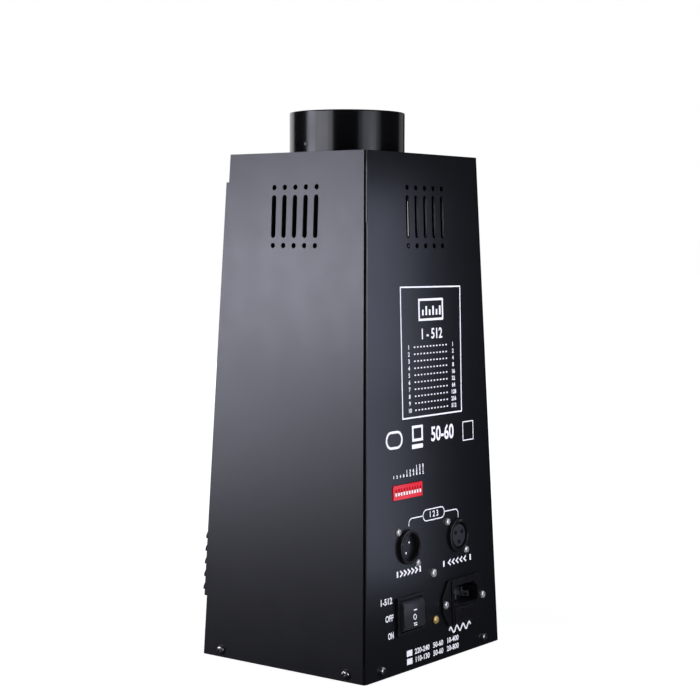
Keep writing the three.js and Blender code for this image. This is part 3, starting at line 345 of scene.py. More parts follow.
@dataclass
class Workshop:
    """Makes meshes into dressed pieces that ride on the frame."""

    groups: Groups = field(default_factory=Groups)
    made: dict[str, bpy.types.Material] = field(default_factory=dict)

    def material(self, coat: Coat) -> bpy.types.Material:
        """Gives the material of a finish, built on first use.

        Args:
            coat: the finish.

        Returns:
            Its material.
        """
        if coat.name not in self.made:
            self.made[coat.name] = coat.value.build(self.groups)
        return self.made[coat.name]

    def attach(self, piece: Thing, body: str, coat: Coat, *nodes: str) -> Thing:
        """Dresses a piece and lets it ride on a body.

        Args:
            piece: a mesh object at the origin.
            body: the name of the CAD body.
            coat: the finish.
            nodes: the CAD nodes that the piece stands for.

        Returns:
            The same piece.
        """
        piece.data.materials.clear()
        piece.data.materials.append(self.material(coat))
        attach(piece, body)
        if nodes:
            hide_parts(*nodes)
        LOG.info("piece %s rides on %s", piece.name, body)
        return piece

    def new_piece(self, name: str, mesh: EditMesh, body: str, coat: Coat, *nodes: str) -> Thing:
        """Makes a piece from an edit mesh, smooth across its soft edges.

        Args:
            name: the piece's name.
            mesh: its shape, in metres.
            body: the name of the CAD body.
            coat: the finish.
            nodes: the CAD nodes that the piece stands for.

        Returns:
            The piece.
        """
        piece = loose_object(name, mesh)
        shade(piece.data, SOFT_ANGLE)
        return self.attach(piece, body, coat, *nodes)

    def dress(self, coat: Coat, *nodes: str) -> None:
        """Gives CAD nodes a finish and leaves their shape.

        Args:
            coat: the finish.
            nodes: the nodes' names.
        """
        for node in nodes:
            shown = frame["nodes"][node]
            shown.data.materials.clear()
            shown.data.materials.append(self.material(coat))
            LOG.info("node %s has finish %s", node, coat.value.name)

    def rounded(
        self, node: str, coat: Coat, edge: float = 0.25, segments: int = 2, corner: float = 0.0,
        inset: float = 0.0, groove: EditMesh | None = None,
    ) -> Thing:
        """Replaces a CAD node by a copy with softly rounded edges.

        Args:
            node: the CAD node.
            coat: its finish.
            edge: how wide the rounding is.
            segments: how many faces the rounding has.
            corner: how wide it is along the housing's upright corners, where that differs.
            inset: how far the node's outer edges stand in from those corners.
            groove: a bar to cut out of the node first.

        Returns:
            The rounded piece.
        """
        source = frame["nodes"][node]
        mesh = bmesh.new()
        mesh.from_mesh(source.data)
        bmesh.ops.remove_doubles(mesh, verts=mesh.verts, dist=1e-6)
        if groove:
            cut = carve(node + "_cut", mesh, groove)
            mesh = bmesh.new()
            mesh.from_mesh(cut.data)
            bpy.data.objects.remove(cut)
        bmesh.ops.dissolve_limit(mesh, angle_limit=math.radians(0.6), verts=mesh.verts, edges=mesh.edges)
        widest = max(edge, corner)
        weights = mesh.edges.layers.float.new("bevel_weight_edge")
        for side in mesh.edges:
            if side.is_manifold and side.calc_face_angle() > ROUNDED_ANGLE:
                upright = corner and side.calc_length() > LONG_EDGE
                width = (corner if on_corner(side, inset) else 0.0) if upright else edge
                side[weights] = width / widest
        shape = loose_object(node + "_base", mesh)
        shade(shape.data, ROUNDED_ANGLE)
        bevel = shape.modifiers.new("edges", "BEVEL")
        bevel.width = widest * MM
        bevel.segments = segments
        bevel.limit_method = "WEIGHT"
        bevel.harden_normals = groove is None
        if groove:
            shape.modifiers.new("shading", "WEIGHTED_NORMAL").keep_sharp = True
        piece = plain_mesh(shape, node + "_coated", reshade=False)
        mark_rubbed(piece.data, edge * MM)
        return self.attach(piece, source["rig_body"], coat, node)


def corner_at(z: float) -> Point:
    """Where the housing's upright corners stand at a height, in millimetres."""
    return HALF_WIDTH - LEAN_WIDE * z / HEIGHT, HALF_DEPTH - LEAN_DEEP * z / HEIGHT


def add_box(mesh: EditMesh, place: Matrix, middle: Triple, size: Triple) -> None:
    """Adds a box, given its middle and size in the millimetres of a place."""
    matrix = place @ Matrix.Translation(middle) @ Matrix.Diagonal((*size, 1))
    bmesh.ops.create_cube(mesh, size=1, matrix=matrix)


def on_corner(side: bmesh.types.BMEdge, inset: float, slack: float = 0.05) -> bool:
    """Tells whether an edge runs along, or just beside, one of the housing's upright corners.

    Args:
        side: the edge.
        inset: how far in from the corner it may stand.
        slack: how far off it may be.

    Returns:
        Whether it does.
    """
    for vertex in side.verts:
        x, y, z = (abs(c) / MM for c in vertex.co)
        wide, deep = corner_at(z)
        if abs(deep - y) > slack or abs(wide - inset - x) > slack:
            return False
    return True


def seam_bar(hand: int, depth: float, width: float, past: float = 2.0) -> EditMesh:
    """A long bar along one of the housing's back corners, which can cut a side panel short there.

    Args:
        hand: 1 for the side at +x and -1 for the other.
        depth: how far it reaches in from the side.
        width: how far it reaches in from the back.
        past: how far it passes the housing everywhere else.

    Returns:
        The bar, in metres.
    """
    mesh = bmesh.new()
    bmesh.ops.create_cube(mesh, size=1)
    for vertex in mesh.verts:
        outer, near, high = (c > 0 for c in vertex.co)
        z = HEIGHT + past if high else -past
        wide, deep = corner_at(z)
        x, y = hand * (wide + (past if outer else -depth)), deep + (past if near else -width)
        vertex.co = Vector((x, y, z)) * MM
    return mesh


def shade(data: bpy.types.Mesh, angle: float) -> None:
    """Shades a mesh smooth, apart from edges sharper than an angle."""
    data.polygons.foreach_set("use_smooth", [True] * len(data.polygons))
    data.set_sharp_from_angle(angle=angle)


def add_object(name: str, data: bpy.types.ID) -> Thing:
    """Adds an object to the scene.

    Args:
        name: the object's name.
        data: what it shows.

    Returns:
        The object.
    """
    thing = bpy.data.objects.new(name, data)
    bpy.context.scene.collection.objects.link(thing)
    return thing


def loose_object(name: str, mesh: EditMesh) -> Thing:
    """Makes an object from an edit mesh, its faces turned outwards, and frees the edit mesh.

    Args:
        name: the object's name.
        mesh: its shape, in metres.

    Returns:
        The object.
    """
    data = bpy.data.meshes.new(name)
    bmesh.ops.recalc_face_normals(mesh, faces=mesh.faces)
    mesh.to_mesh(data)
    mesh.free()
    return add_object(name, data)


def evaluated_mesh(source: Thing) -> bpy.types.Mesh:
    """The mesh that an object has after its modifiers or as text."""
    graph = bpy.context.evaluated_depsgraph_get()
    return bpy.data.meshes.new_from_object(source.evaluated_get(graph), depsgraph=graph)


def mark_rubbed(data: bpy.types.Mesh, width: float) -> None:
    """Marks the narrow faces of a mesh, which round its edges, as rubbed.

    Args:
        data: the mesh.
        width: how wide such a face may be, in metres.
    """
    marks = data.attributes.new("rubbed", "FLOAT", "FACE")
    for face in data.polygons:
        sides = [data.edges[data.loops[i].edge_index] for i in face.loop_indices]
        ends = [[data.vertices[v].co for v in side.vertices] for side in sides]
        longest = max((a - b).length for a, b in ends)
        marks.data[face.index].value = 1.0 if longest and face.area / longest < width else 0.0


def plain_mesh(shape: Thing, name: str, reshade: bool = True) -> Thing:
    """Turns an object with modifiers into a plain mesh object and removes the first one.

    Args:
        shape: the object with modifiers.
        name: the new object's name.
        reshade: whether its soft edges are found anew.

    Returns:
        The plain object.
    """
    data = evaluated_mesh(shape)
    data.name = name
    if reshade:
        shade(data, SOFT_ANGLE)
    piece = add_object(name, data)
    bpy.data.objects.remove(shape)
    return piece


def carve(name: str, block: EditMesh, tools: EditMesh) -> Thing:
    """Cuts shapes out of a block.

    Args:
        name: the object's name.
        block: what is cut.
        tools: the shapes cut out of it.

    Returns:
        The object that is left.
    """
    shape, tool = loose_object(name + "_block", block), loose_object(name + "_tools", tools)
    cut = shape.modifiers.new("cut", "BOOLEAN")
    cut.operation = "DIFFERENCE"
    cut.solver = "EXACT"
    cut.use_self = True
    cut.object = tool
    piece = plain_mesh(shape, name)
    bpy.data.objects.remove(tool)
    return piece


def revolve(mesh: EditMesh, outline: Sequence[Point], place: Matrix, sides: int = 48) -> None:
    """Adds a turned shape whose closed outline is given as radius and height.

    Args:
        mesh: the edit mesh to add to.
        outline: points in millimetres; it closes itself.
        place: the matrix from the turned piece's millimetres to metres.
        sides: how many faces go round.
    """
    rings = []
    turns = [i * 2 * math.pi / sides for i in range(sides)]
    for radius, height in outline:
        if radius < 1e-6:
            rings.append([mesh.verts.new(place @ Vector((0, 0, height)))])
            continue
        ring = [Vector((radius * math.cos(a), radius * math.sin(a), height)) for a in turns]
        rings.append([mesh.verts.new(place @ point) for point in ring])
    for lower, upper in zip(rings, rings[1:] + rings[:1]):
        for i in range(sides):
            corners = [lower[k % len(lower)] for k in (i, i + 1)] + [upper[k % len(upper)] for k in (i + 1, i)]
            unique = list(dict.fromkeys(corners))
            if len(unique) > 2:
                mesh.faces.new(unique)


SIDE_TINT, BARREL_TINT, CARD_TINT = (0.93, 0.93, 1.12), (0.95, 0.96, 1.08), (0.84, 0.91, 1.2)
WHITE = (1.0, 1.0, 1.0)


@dataclass(frozen=True)
class Softbox:
    """A soft area light, in metres.

    Where nothing is said, it looks level at a place on the housing's axis.
    """

    name: str
    place: Triple
    size: Point
    power: float
    tint: Triple
    aim: Triple | None = None

    def build(self) -> None:
        """Adds the light to the scene."""
        data = bpy.data.lights.new(self.name, "AREA")
        data.shape = "RECTANGLE"
        data.size, data.size_y = self.size
        data.energy = self.power
        data.color = self.tint
        light = add_object(self.name, data)
        light.location = self.place
        aim = Vector(self.aim or (0.05, 0.0, self.place[2]))
        light.rotation_euler = (aim - light.location).to_track_quat("-Z", "Y").to_euler()
        light.visible_camera = False


@dataclass
class Studio:
    """The pale floor, the soft lights and the camera of the photograph."""

    lens: float = 86.67
    shift: Point = (-0.0062, 0.0051)
    eye: Triple = (0.975013, 0.741968, 0.299124)
    right: Triple = (-0.60575, 0.79565, 0.00330)
    up: Triple = (-0.05125, -0.04315, 0.99775)
    forward: Triple = (-0.79400, -0.60422, -0.06691)
    lamps: tuple[Softbox, ...] = (
        Softbox("side_low_left", (0.611, -0.728, 0.17), (0.3, 0.2), 1.08, SIDE_TINT),
        Softbox("side_low", (0.778, -0.545, 0.12), (0.3, 0.1), 0.33, SIDE_TINT),
        Softbox("side_middle", (0.778, -0.545, 0.32), (0.3, 0.1), 1.95, SIDE_TINT),
        Softbox("side_high", (0.778, -0.545, 0.52), (0.3, 0.1), 0.6, SIDE_TINT),
        Softbox("barrel_left", (0.769, -0.558, 0.435), (0.42, 0.12), 0.38, BARREL_TINT),
        Softbox("barrel_middle", (0.9146, -0.2571, 0.435), (0.264, 0.12), 0.42, BARREL_TINT),
        Softbox("barrel_edge", (0.948, -0.058, 0.435), (0.14, 0.12), 0.22, BARREL_TINT),
        Softbox("barrel_fade", (0.946, 0.083, 0.435), (0.13, 0.12), 0.14, BARREL_TINT),
        Softbox("barrel_right", (0.132, 0.941, 0.435), (0.5, 0.14), 0.36, (0.92, 0.95, 1.1)),
        Softbox("barrel_wide", (0.132, 0.941, 0.435), (0.8, 0.14), 0.24, (0.92, 0.95, 1.1)),
        Softbox("corner_strip", (0.06, 0.94, 0.2), (0.2, 0.3), 2.6, (0.97, 0.98, 1.05), (0.083, 0.07, 0.2)),
        Softbox("card_high", (-0.07, 0.195, 0.27), (0.1, 0.15), 0.092, CARD_TINT, (0.083, 0.07, 0.27)),
        Softbox("card_low", (-0.062, 0.198, 0.118), (0.1, 0.155), 0.074, CARD_TINT, (0.083, 0.07, 0.118)),
        Softbox("front_softbox", (-1.3, -2.25, 0.9), (2.6, 1.8), 16.0, WHITE, (0.0, 0.0, 0.25)),
        Softbox("far_softbox", (-1.596, 0.112, 0.42), (0.7, 0.5), 0.32, WHITE, (0.0, 0.0, 0.42)),
        Softbox("top_softbox", (0.1, 0.0, 1.6), (1.0, 1.0), 0.5, WHITE, (0.0, 0.0, 0.3)),
    )

    def build(self) -> None:
        """Makes the camera, the floor, the surroundings and the lights."""
        self._camera()
        self._floor()
        self._surroundings()
        for lamp in self.lamps:
            lamp.build()
        scene = bpy.context.scene
        scene.view_settings.view_transform = "Standard"
        scene.view_settings.look = "None"

    def _camera(self) -> None:
        """Sets the camera that was fitted to the photograph."""
        data = bpy.data.cameras.new("photo_camera")
        data.sensor_width = 36
        data.lens = self.lens
        data.shift_x, data.shift_y = self.shift
        camera = add_object("photo_camera", data)
        columns = (Vector(self.right), Vector(self.up), -Vector(self.forward))
        turn = Matrix([[axis[row] for axis in columns] for row in range(3)])
        camera.matrix_world = Matrix.Translation(self.eye) @ turn.to_4x4()
        bpy.context.scene.camera = camera

    def _floor(self) -> None:
        """Makes a pale glowing floor, which glows less near the machine: painted shade around its foot."""
        mesh = bmesh.new()
        bmesh.ops.create_grid(mesh, x_segments=2, y_segments=2, size=12)
        floor = loose_object("floor", mesh)
        floor.location.z = -0.3 * MM
        material = bpy.data.materials.new("pale_floor")
        material.use_nodes = True
        tree = material.node_tree
        shader = tree.nodes["Principled BSDF"]
        fill(shader, {
            "Base Color": (0.6, 0.6, 0.61, 1), "Emission Color": (*WHITE, 1), "Roughness": 0.9,
            "Specular IOR Level": 0.1,
        })
        # Painted shade: the glow drops from 1.02 beyond 0.7 m to 0.88 within 0.15 m of the machine's axis, darkening
        # the floor round its foot under any lamp.
        away = add_node(tree, "ShaderNodeVectorMath", operation="LENGTH")
        reach = {"From Min": 0.15, "From Max": 0.7, "To Min": 0.88, "To Max": 1.02}
        floor_glow_painted_shade = add_node(tree, "ShaderNodeMapRange", reach)
        link(
            tree, (add_node(tree, "ShaderNodeTexCoord"), "Object", away, 0), (away, "Value", floor_glow_painted_shade, "Value"),
            (floor_glow_painted_shade, 0, shader, "Emission Strength"),
        )
        floor.data.materials.append(material)
        floor.visible_glossy = False

    def _surroundings(self) -> None:
        """Makes the world: white behind the machine and dim in its reflections."""
        world = bpy.data.worlds.new("studio")
        bpy.context.scene.world = world
        world.use_nodes = True
        tree = world.node_tree
        seen = tree.nodes["Background"]
        fill(seen, {"Color": (*WHITE, 1), "Strength": 1.0})
        dim = add_node(tree, "ShaderNodeBackground", {"Color": (0.62, 0.68, 0.85, 1), "Strength": 0.015})
        path = add_node(tree, "ShaderNodeLightPath")
        mix = add_node(tree, "ShaderNodeMixShader")
        link(
            tree, (path, "Is Camera Ray", mix, "Fac"), (dim, 0, mix, 1), (seen, 0, mix, 2),
            (mix, 0, tree.nodes["World Output"], "Surface"),
        )


@dataclass
class Screws:
    """Small pan-head screws, set out by one Geometry Nodes tree."""

    shop: Workshop
    head_sides: int = 24

    def _master(self) -> Thing:
        """Makes a screw with a cross recess.

        Returns:
            The screw, with a head radius of 1 mm.
        """
        outline = [
            (0, -1.2), (0.42, -1.2), (0.42, -0.02), (0.95, -0.02), (1.0, 0.04), (0.99, 0.24),
            (0.9, 0.46), (0.7, 0.62), (0.4, 0.7), (0, 0.72),
        ]
        mesh, cross = bmesh.new(), bmesh.new()
        revolve(mesh, outline, Matrix.Scale(MM, 4), self.head_sides)
        for turn in (0, math.pi / 2):
            add_box(cross, Matrix.Rotation(turn, 4, "Z") @ Matrix.Scale(MM, 4), (0, 0, 0.7), (1.25, 0.34, 0.9))
        return carve("screw_master", mesh, cross)

    @staticmethod
    def _tree() -> Tree:
        """Sets a screw on each point, turned and sized by attributes.

        Returns:
            The node tree.
        """
        tree = bpy.data.node_groups.new("set_out_screws", "GeometryNodeTree")
        for label, way, kind in (
            ("Geometry", "INPUT", "Geometry"), ("Screw", "INPUT", "Object"), ("Coat", "INPUT", "Material"),
            ("Geometry", "OUTPUT", "Geometry"),
        ):
            tree.interface.new_socket(label, in_out=way, socket_type="NodeSocket" + kind)
        start, end = add_node(tree, "NodeGroupInput"), add_node(tree, "NodeGroupOutput")
        info = add_node(tree, "GeometryNodeObjectInfo")
        aim = add_node(tree, "GeometryNodeInputNamedAttribute", {"Name": "turn"}, data_type="FLOAT_VECTOR")
        size = add_node(tree, "GeometryNodeInputNamedAttribute", {"Name": "size"}, data_type="FLOAT")
        spin = add_node(tree, "FunctionNodeEulerToRotation")
        scatter = add_node(tree, "GeometryNodeInstanceOnPoints")
        solid = add_node(tree, "GeometryNodeRealizeInstances")
        coat = add_node(tree, "GeometryNodeSetMaterial")
        link(
            tree, (start, "Screw", info, "Object"), (start, "Geometry", scatter, "Points"),
            (info, "Geometry", scatter, "Instance"), (aim, "Attribute", spin, 0), (spin, 0, scatter, "Rotation"),
            (size, "Attribute", scatter, "Scale"), (scatter, "Instances", solid, "Geometry"),
            (solid, "Geometry", coat, "Geometry"), (start, "Coat", coat, "Material"),
            (coat, "Geometry", end, "Geometry"),
        )
        return tree

    def build(self) -> None:
        """Sets out the screws of the panels, the sockets, the inlet and the barrel."""
        master, tree = self._master(), self._tree()
        panel = [
            (wall.spot(side * reach, rise), 3.3)
            for wall, reach, rise in (
                (Wall.BACK, 63.4, 6.4), (Wall.FRONT, 76.6, 12.8), (Wall.RIGHT, 56.5, 5.6), (Wall.LEFT, 56.5, 5.6),
            )
            for side in (-1, 1)
        ]
        small = [
            (Wall.BACK.spot(x, rise, stand), size)
            for x, rise, stand, size in (
                (-41.3, 98.6, 0, 2.6), (-18.7, 74.2, 0, 2.6), (19.2, 98.2, 0, 2.6), (42.3, 75.0, 0, 2.6),
                (0.0, 64.2, 0, 3.1), (11.6, 39.4, 2.3, 2.7), (59.3, 39.4, 2.3, 2.7),
            )
        ]
        on_tube = Matrix.Translation((41.7, 0, 367.3)) @ Matrix.Rotation(math.pi / 2, 4, "Y")
        flue = [(FLUE @ Matrix.Rotation(math.radians(-6.7 + 180 * i), 4, "Z") @ on_tube, 1.4) for i in range(2)]
        on_collar = Matrix.Translation((34.8, 0, 361.6))
        flue += [(FLUE @ Matrix.Rotation(math.radians(45 + 90 * i), 4, "Z") @ on_collar, 2.2) for i in range(4)]
        for name, places, coat in (
            ("panel_foot_screws", panel, Coat.DARK_SCREW), ("socket_screws", small, Coat.SCREW),
            ("barrel_screws", flue, Coat.DARK_SCREW),
        ):
            self._set_out(name, places, coat, master, tree)
        bpy.data.objects.remove(master)

    def _set_out(
        self, name: str, places: list[tuple[Matrix, float]], coat: Coat, master: Thing, tree: Tree,
    ) -> None:
        """Makes one set of screws into a plain mesh on the housing.

        Args:
            name: the piece's name.
            places: each screw's matrix and head radius.
            coat: the finish.
            master: the screw that is repeated.
            tree: the node tree.
        """
        data = bpy.data.meshes.new(name + "_points")
        data.from_pydata([tuple(m.translation) for m, _ in places], [], [])
        data.attributes.new("turn", "FLOAT_VECTOR", "POINT")
        data.attributes.new("size", "FLOAT", "POINT")
        turns, sizes = data.attributes["turn"], data.attributes["size"]
        for i, (matrix, size) in enumerate(places):
            spun = matrix @ Matrix.Rotation(0.5 + 0.9 * i, 4, "Z")
            turns.data[i].vector = spun.to_3x3().normalized().to_euler()
            sizes.data[i].value = size
        points = add_object(name + "_points", data)
        modifier = points.modifiers.new("screws", "NODES")
        modifier.node_group = tree
        sockets = {s.name: s.identifier for s in tree.interface.items_tree if s.in_out == "INPUT"}
        modifier[sockets["Screw"]] = master
        modifier[sockets["Coat"]] = self.shop.material(coat)
        piece = plain_mesh(points, name)
        self.shop.attach(piece, HOUSING, coat)


@dataclass
class Printing:
    """White print on a wall, built as thin raised ink in the wall's own frame."""

    shop: Workshop
    name: str
    body: str
    place: Matrix
    lift: Callable[[float, float], float] = lambda x, y: 0.0
    low: float = 0.02
    high: float = 0.07
    mesh: EditMesh = field(default_factory=bmesh.new)

    def strip(self, points: Sequence[Point], width: float, closed: bool = False) -> None:
        """Prints a line of one width along points.

        Args:
            points: the line's middle.
            width: its width.
            closed: whether it returns to its start.
        """
        count = len(points)
        rows = []
        for i in range(count):
            here = Vector(points[i])
            before = Vector(points[i - 1]) if i or closed else None
            after = Vector(points[(i + 1) % count]) if i < count - 1 or closed else None
            first = (here - before).normalized() if before is not None else (after - here).normalized()
            last = (after - here).normalized() if after is not None else first
            along = (first + last).normalized()
            across = Vector((-along.y, along.x)) * (width / 2 / max(0.35, along.dot(first)))
            row = [here + across, here - across]
            rows.append([self._corner(p, z) for z in (self.low, self.high) for p in row])
        pairs = list(zip(rows, rows[1:])) + ([(rows[-1], rows[0])] if closed else [])
        for a, b in pairs:
            for i, j in ((0, 1), (1, 3), (3, 2), (2, 0)):
                self.mesh.faces.new((a[i], a[j], b[j], b[i]))
        if not closed:
            for end in (rows[0], rows[-1]):
                self.mesh.faces.new((end[0], end[1], end[3], end[2]))

    def _corner(self, point: Vector, stand: float) -> bmesh.types.BMVert:
        """A vertex at a place on the wall."""
        return self.mesh.verts.new((point.x, point.y, stand + self.lift(point.x, point.y)))

    def block(self, x0: float, x1: float, y0: float, y1: float) -> None:
        """Prints a filled upright rectangle."""
        self.strip([((x0 + x1) / 2, y0), ((x0 + x1) / 2, y1)], x1 - x0)

    def arc(self, middle: Point, radius: float, start: float, end: float, steps: int = 8) -> list[Point]:
        """Points along an arc, with its angles in degrees."""
        turns = [math.radians(start + (end - start) * i / steps) for i in range(steps + 1)]
        return [(middle[0] + radius * math.cos(a), middle[1] + radius * math.sin(a)) for a in turns]

    def words(self, text: str, x: float, y: float, size: float, squeeze: float = 0.9, heavy: float = 0.0) -> None:
        """Prints plain numbers or ON and OFF, centred on a point.

        Args:
            text: what is printed.
            x: the middle across.
            y: the middle up.
            size: the height of a figure.
            squeeze: its width, as a share of the face's own.
            heavy: how much each stroke is thickened.
        """
        curve = bpy.data.curves.new("figures", "FONT")
        curve.body = text
        curve.size = size / 0.72
        curve.align_x, curve.align_y = "CENTER", "CENTER"
        curve.extrude = (self.high - self.low) / 2
        curve.offset = heavy
        curve.resolution_u = 3
        source = add_object("figures", curve)
        data = evaluated_mesh(source)
        data.transform(
            Matrix.Translation((x, y, (self.low + self.high) / 2)) @ Matrix.Diagonal((squeeze, 1, 1, 1))
        )
        for vertex in data.vertices:
            vertex.co.z += self.lift(vertex.co.x, vertex.co.y)
        self.mesh.from_mesh(data)
        bpy.data.objects.remove(source)
        bpy.data.meshes.remove(data)

    def finish(self, coat: Coat = Coat.INK) -> None:
        """Makes the print one piece."""
        bmesh.ops.transform(self.mesh, matrix=self.place, verts=self.mesh.verts)
        self.shop.new_piece(self.name, self.mesh, self.body, coat)


@dataclass
class BackPrint:
    """The print on the back panel: a framed table of numbers, figures and plain marks."""

    shop: Workshop
    columns: int = 10
    column_pitch: float = 3.9
    row_pitch: float = 4.9

    def build(self) -> None:
        """Prints the whole panel."""
        ink = Printing(self.shop, "back_panel_print", HOUSING, Wall.BACK.frame())
        self._table(ink)
        self._marks(ink)
        self._columns(ink)
        self._line_art(ink)
        self._switch_words(ink)
        self._foot_lines(ink)
        ink.finish()

    def _table(self, ink: Printing) -> None:
        """A frame with a drawn switch block and ten rows of numbers.

        Args:
            ink: the print.
        """
        ink.strip([(-31.8, 267.2), (41.8, 266.6), (40.6, 176.2), (-32.4, 176.2)], 1.05, closed=True)
        ink.strip([(-10, 258), (19, 258), (19, 244), (-10, 244)], 1.6, closed=True)
        for i in range(6):
            ink.block(-6.3 + i * 4.2, -4.4 + i * 4.2, 247, 251 + 2.5 * (i % 2))
        ink.words("1 - 512", 4.6, 233.6, 7.4, 0.92, 0.2)
        for i in range(self.columns):
            rise = 225.2 - i * self.row_pitch
            for figures, x in ((i + 1, -23.5), (2**i, 31.0)):
                ink.words(str(figures), x, rise, 3.0, 1.0, 0.1)
            for dot in range(11):
                ink.block(-17.2 + dot * 3.9, -15.6 + dot * 3.9, rise - 0.5, rise + 0.5)

    def _marks(self, ink: Printing) -> None:
        """A row of plain marks: a ring, a bar below a square, numbers and an outline.

        Args:
            ink: the print.
        """
        ring = ink.arc((-46.6, 162.5), 5.4, 90, 270, 10) + ink.arc((-39.4, 162.5), 5.4, -90, 90, 10)
        ink.strip(ring, 1.7, closed=True)
        ink.strip([(-20.8, 160.4), (-9.6, 160.4), (-9.6, 169.6), (-20.8, 169.6)], 1.9, closed=True)
        ink.block(-22.2, -9.0, 154.4, 157.4)
        ink.words("50-60", 15.5, 162.2, 10.4, 0.86, 0.3)
        ink.strip([(41.8, 154.6), (55.2, 154.6), (55.2, 168.0), (41.8, 168.0)], 0.75, closed=True)

    def _columns(self, ink: Printing) -> None:
        """Each slide switch's value, written upwards in a column.

        Args:
            ink: the print.
        """
        for i in range(self.columns):
            x = -44.6 + i * self.column_pitch
            for k, figure in enumerate(reversed(str(2**i))):
                ink.words(figure, x, 136.8 + k * 2.5, 2.1, 1.0, 0.16)

    def _line_art(self, ink: Printing) -> None:
        """The line that joins the two sockets, with a capsule that holds pin numbers.

        Args:
            ink: the print.
        """
        left = [(-28.1, 101.0)] + ink.arc((-24.4, 102.6), 3.6, 176, 90, 6) + [(-10.7, 106.1)]
        right = [(15.8, 106.0)] + ink.arc((29.8, 102.4), 3.5, 90, 4, 6) + [(33.3, 99.6)]
        ink.strip(left, 0.75)
        ink.strip(right, 0.75)
        capsule = ink.arc((-6.8, 106.0), 3.9, 90, 270, 8) + ink.arc((11.9, 106.0), 3.9, -90, 90, 8)
        ink.strip(capsule, 0.75, closed=True)
        ink.words("1 2 3", 2.5, 106.0, 4.3, 0.95, 0.12)
        for x, rise, wide, pitch, turn in ((-29.3, 69.5, 13.6, 4.5, 1), (30.8, 68.5, 17.1, 5.0, -1)):
            for k in range(5):
                start = x + turn * ((k - 2) * pitch - 1.5)
                ink.strip([(start, rise + 2), (start + turn * 2.8, rise), (start, rise - 2)], 1.2)
            for side in (-1, 1):
                ink.block(x + side * wide - 0.9, x + side * wide + 0.9, rise - 2.1, rise + 2.1)

    def _switch_words(self, ink: Printing) -> None:
        """The words beside the rocker switch.

        Args:
            ink: the print.
        """
        for word, x, y, wide in (("1-512", -56.9, 52.6, 1.0), ("OFF", -53.5, 40.6, 0.88), ("ON", -52.2, 28.4, 0.7)):
            ink.words(word, x, y, 4.4, wide, 0.16)
        wave = [(18.6 + 28 * i / 56, 19.3 + 2.1 * math.sin(i / 56 * 7 * math.pi)) for i in range(57)]
        ink.strip(wave, 1.3)

    def _foot_lines(self, ink: Printing) -> None:
        """Two rows of rating numbers with tick boxes at the foot.

        Args:
            ink: the print.
        """
        for rise, figures in ((12.4, "220-240   50-60   10-400"), (6.6, "110-130   50-60   20-800")):
            ink.block(-34.0, -27.5, rise - 1.9, rise + 2.3)
            ink.words(figures, 3.0, rise, 3.75, 1.04, 0.14)


@dataclass
class Housing:
    """The sheet-metal body: panels, plates, shelf and foot."""

    shop: Workshop
    edge: float = 0.3
    sheet: float = 1.2
    gap: float = 0.4
    seam: float = 2.0

    def build(self) -> None:
        """Dresses the panels with softly rounded edges, and the one at +x with a seam beside its back corner.

        The bar is just as deep as the sheet: it cuts the panel at +x through and leaves the other whole.
        """
        for node, hand in (("side_panel_right", 1), ("side_panel_left", -1)):
            bar = seam_bar(hand, self.sheet, self.seam)
            self.shop.rounded(node, Coat.POWDER, self.edge, 4, self.edge, self.sheet, bar)
        for node in ("back_panel", "front_panel"):
            self.shop.rounded(node, Coat.POWDER, self.edge, 4, self.edge / 2, self.sheet + self.gap)
        self.shop.rounded("top_plate", Coat.POWDER, self.edge, 3)
        self.shop.rounded("base_plate", Coat.POWDER, self.edge, 2)
        self.shop.dress(Coat.DARK_STEEL, "inner_shelf")


@dataclass
class Door:
    """The hinged door with its long hinge and its latch."""

    shop: Workshop

    def build(self) -> None:
        """Dresses the door, the hinge and the latch."""
        self.shop.rounded("access_door", Coat.POWDER, 0.25, 2)
        self.shop.dress(Coat.POWDER, "hinge_leaf_frame", "hinge_leaf_door")
        self.shop.dress(Coat.BRIGHT_STEEL, "hinge_pin", "latch_cam")
        self.shop.rounded("latch_knob", Coat.MOULDED, 0.5, 3)


@dataclass
class Barrel:
    """The round barrel with its rolled rim, its collar and the liner below."""

    shop: Workshop
    radius: float = 41.7
    wall: float = 1.5
    low: float = 360.3
    high: float = 390.9
    roll: float = 0.6

    def build(self) -> None:
        """Turns the barrel and dresses what is inside it."""
        r, w, e, low, high = self.radius, self.wall, self.roll, self.low, self.high
        outline = [
            (r - w, low), (r - 0.2, low), (r, low + 0.2), (r, low + 0.5), (r, high - e - 0.3), (r, high - e),
            (r - e * 0.3, high - e * 0.3), (r - e, high), (r - w + e * 0.6, high), (r - w, high - e * 0.6),
            (r - w, high - e - 0.3), (r - w, low + 0.3),
        ]
        mesh = bmesh.new()
        revolve(mesh, outline, FLUE, 128)
        self.shop.new_piece("barrel_tube", mesh, HOUSING, Coat.BARREL, "flame_barrel")
        for coat, nodes in (
            (Coat.DARK_STEEL, ("barrel_collar", "burner_strap")), (Coat.SOOTED, ("chimney_liner",)),
            (Coat.BRIGHT_STEEL, ("electrode_left", "electrode_right")), (Coat.BRASS, ("burner_nozzle",)),
            (Coat.CERAMIC, ("insulator_left", "insulator_right")),
        ):
            self.shop.dress(coat, *nodes)


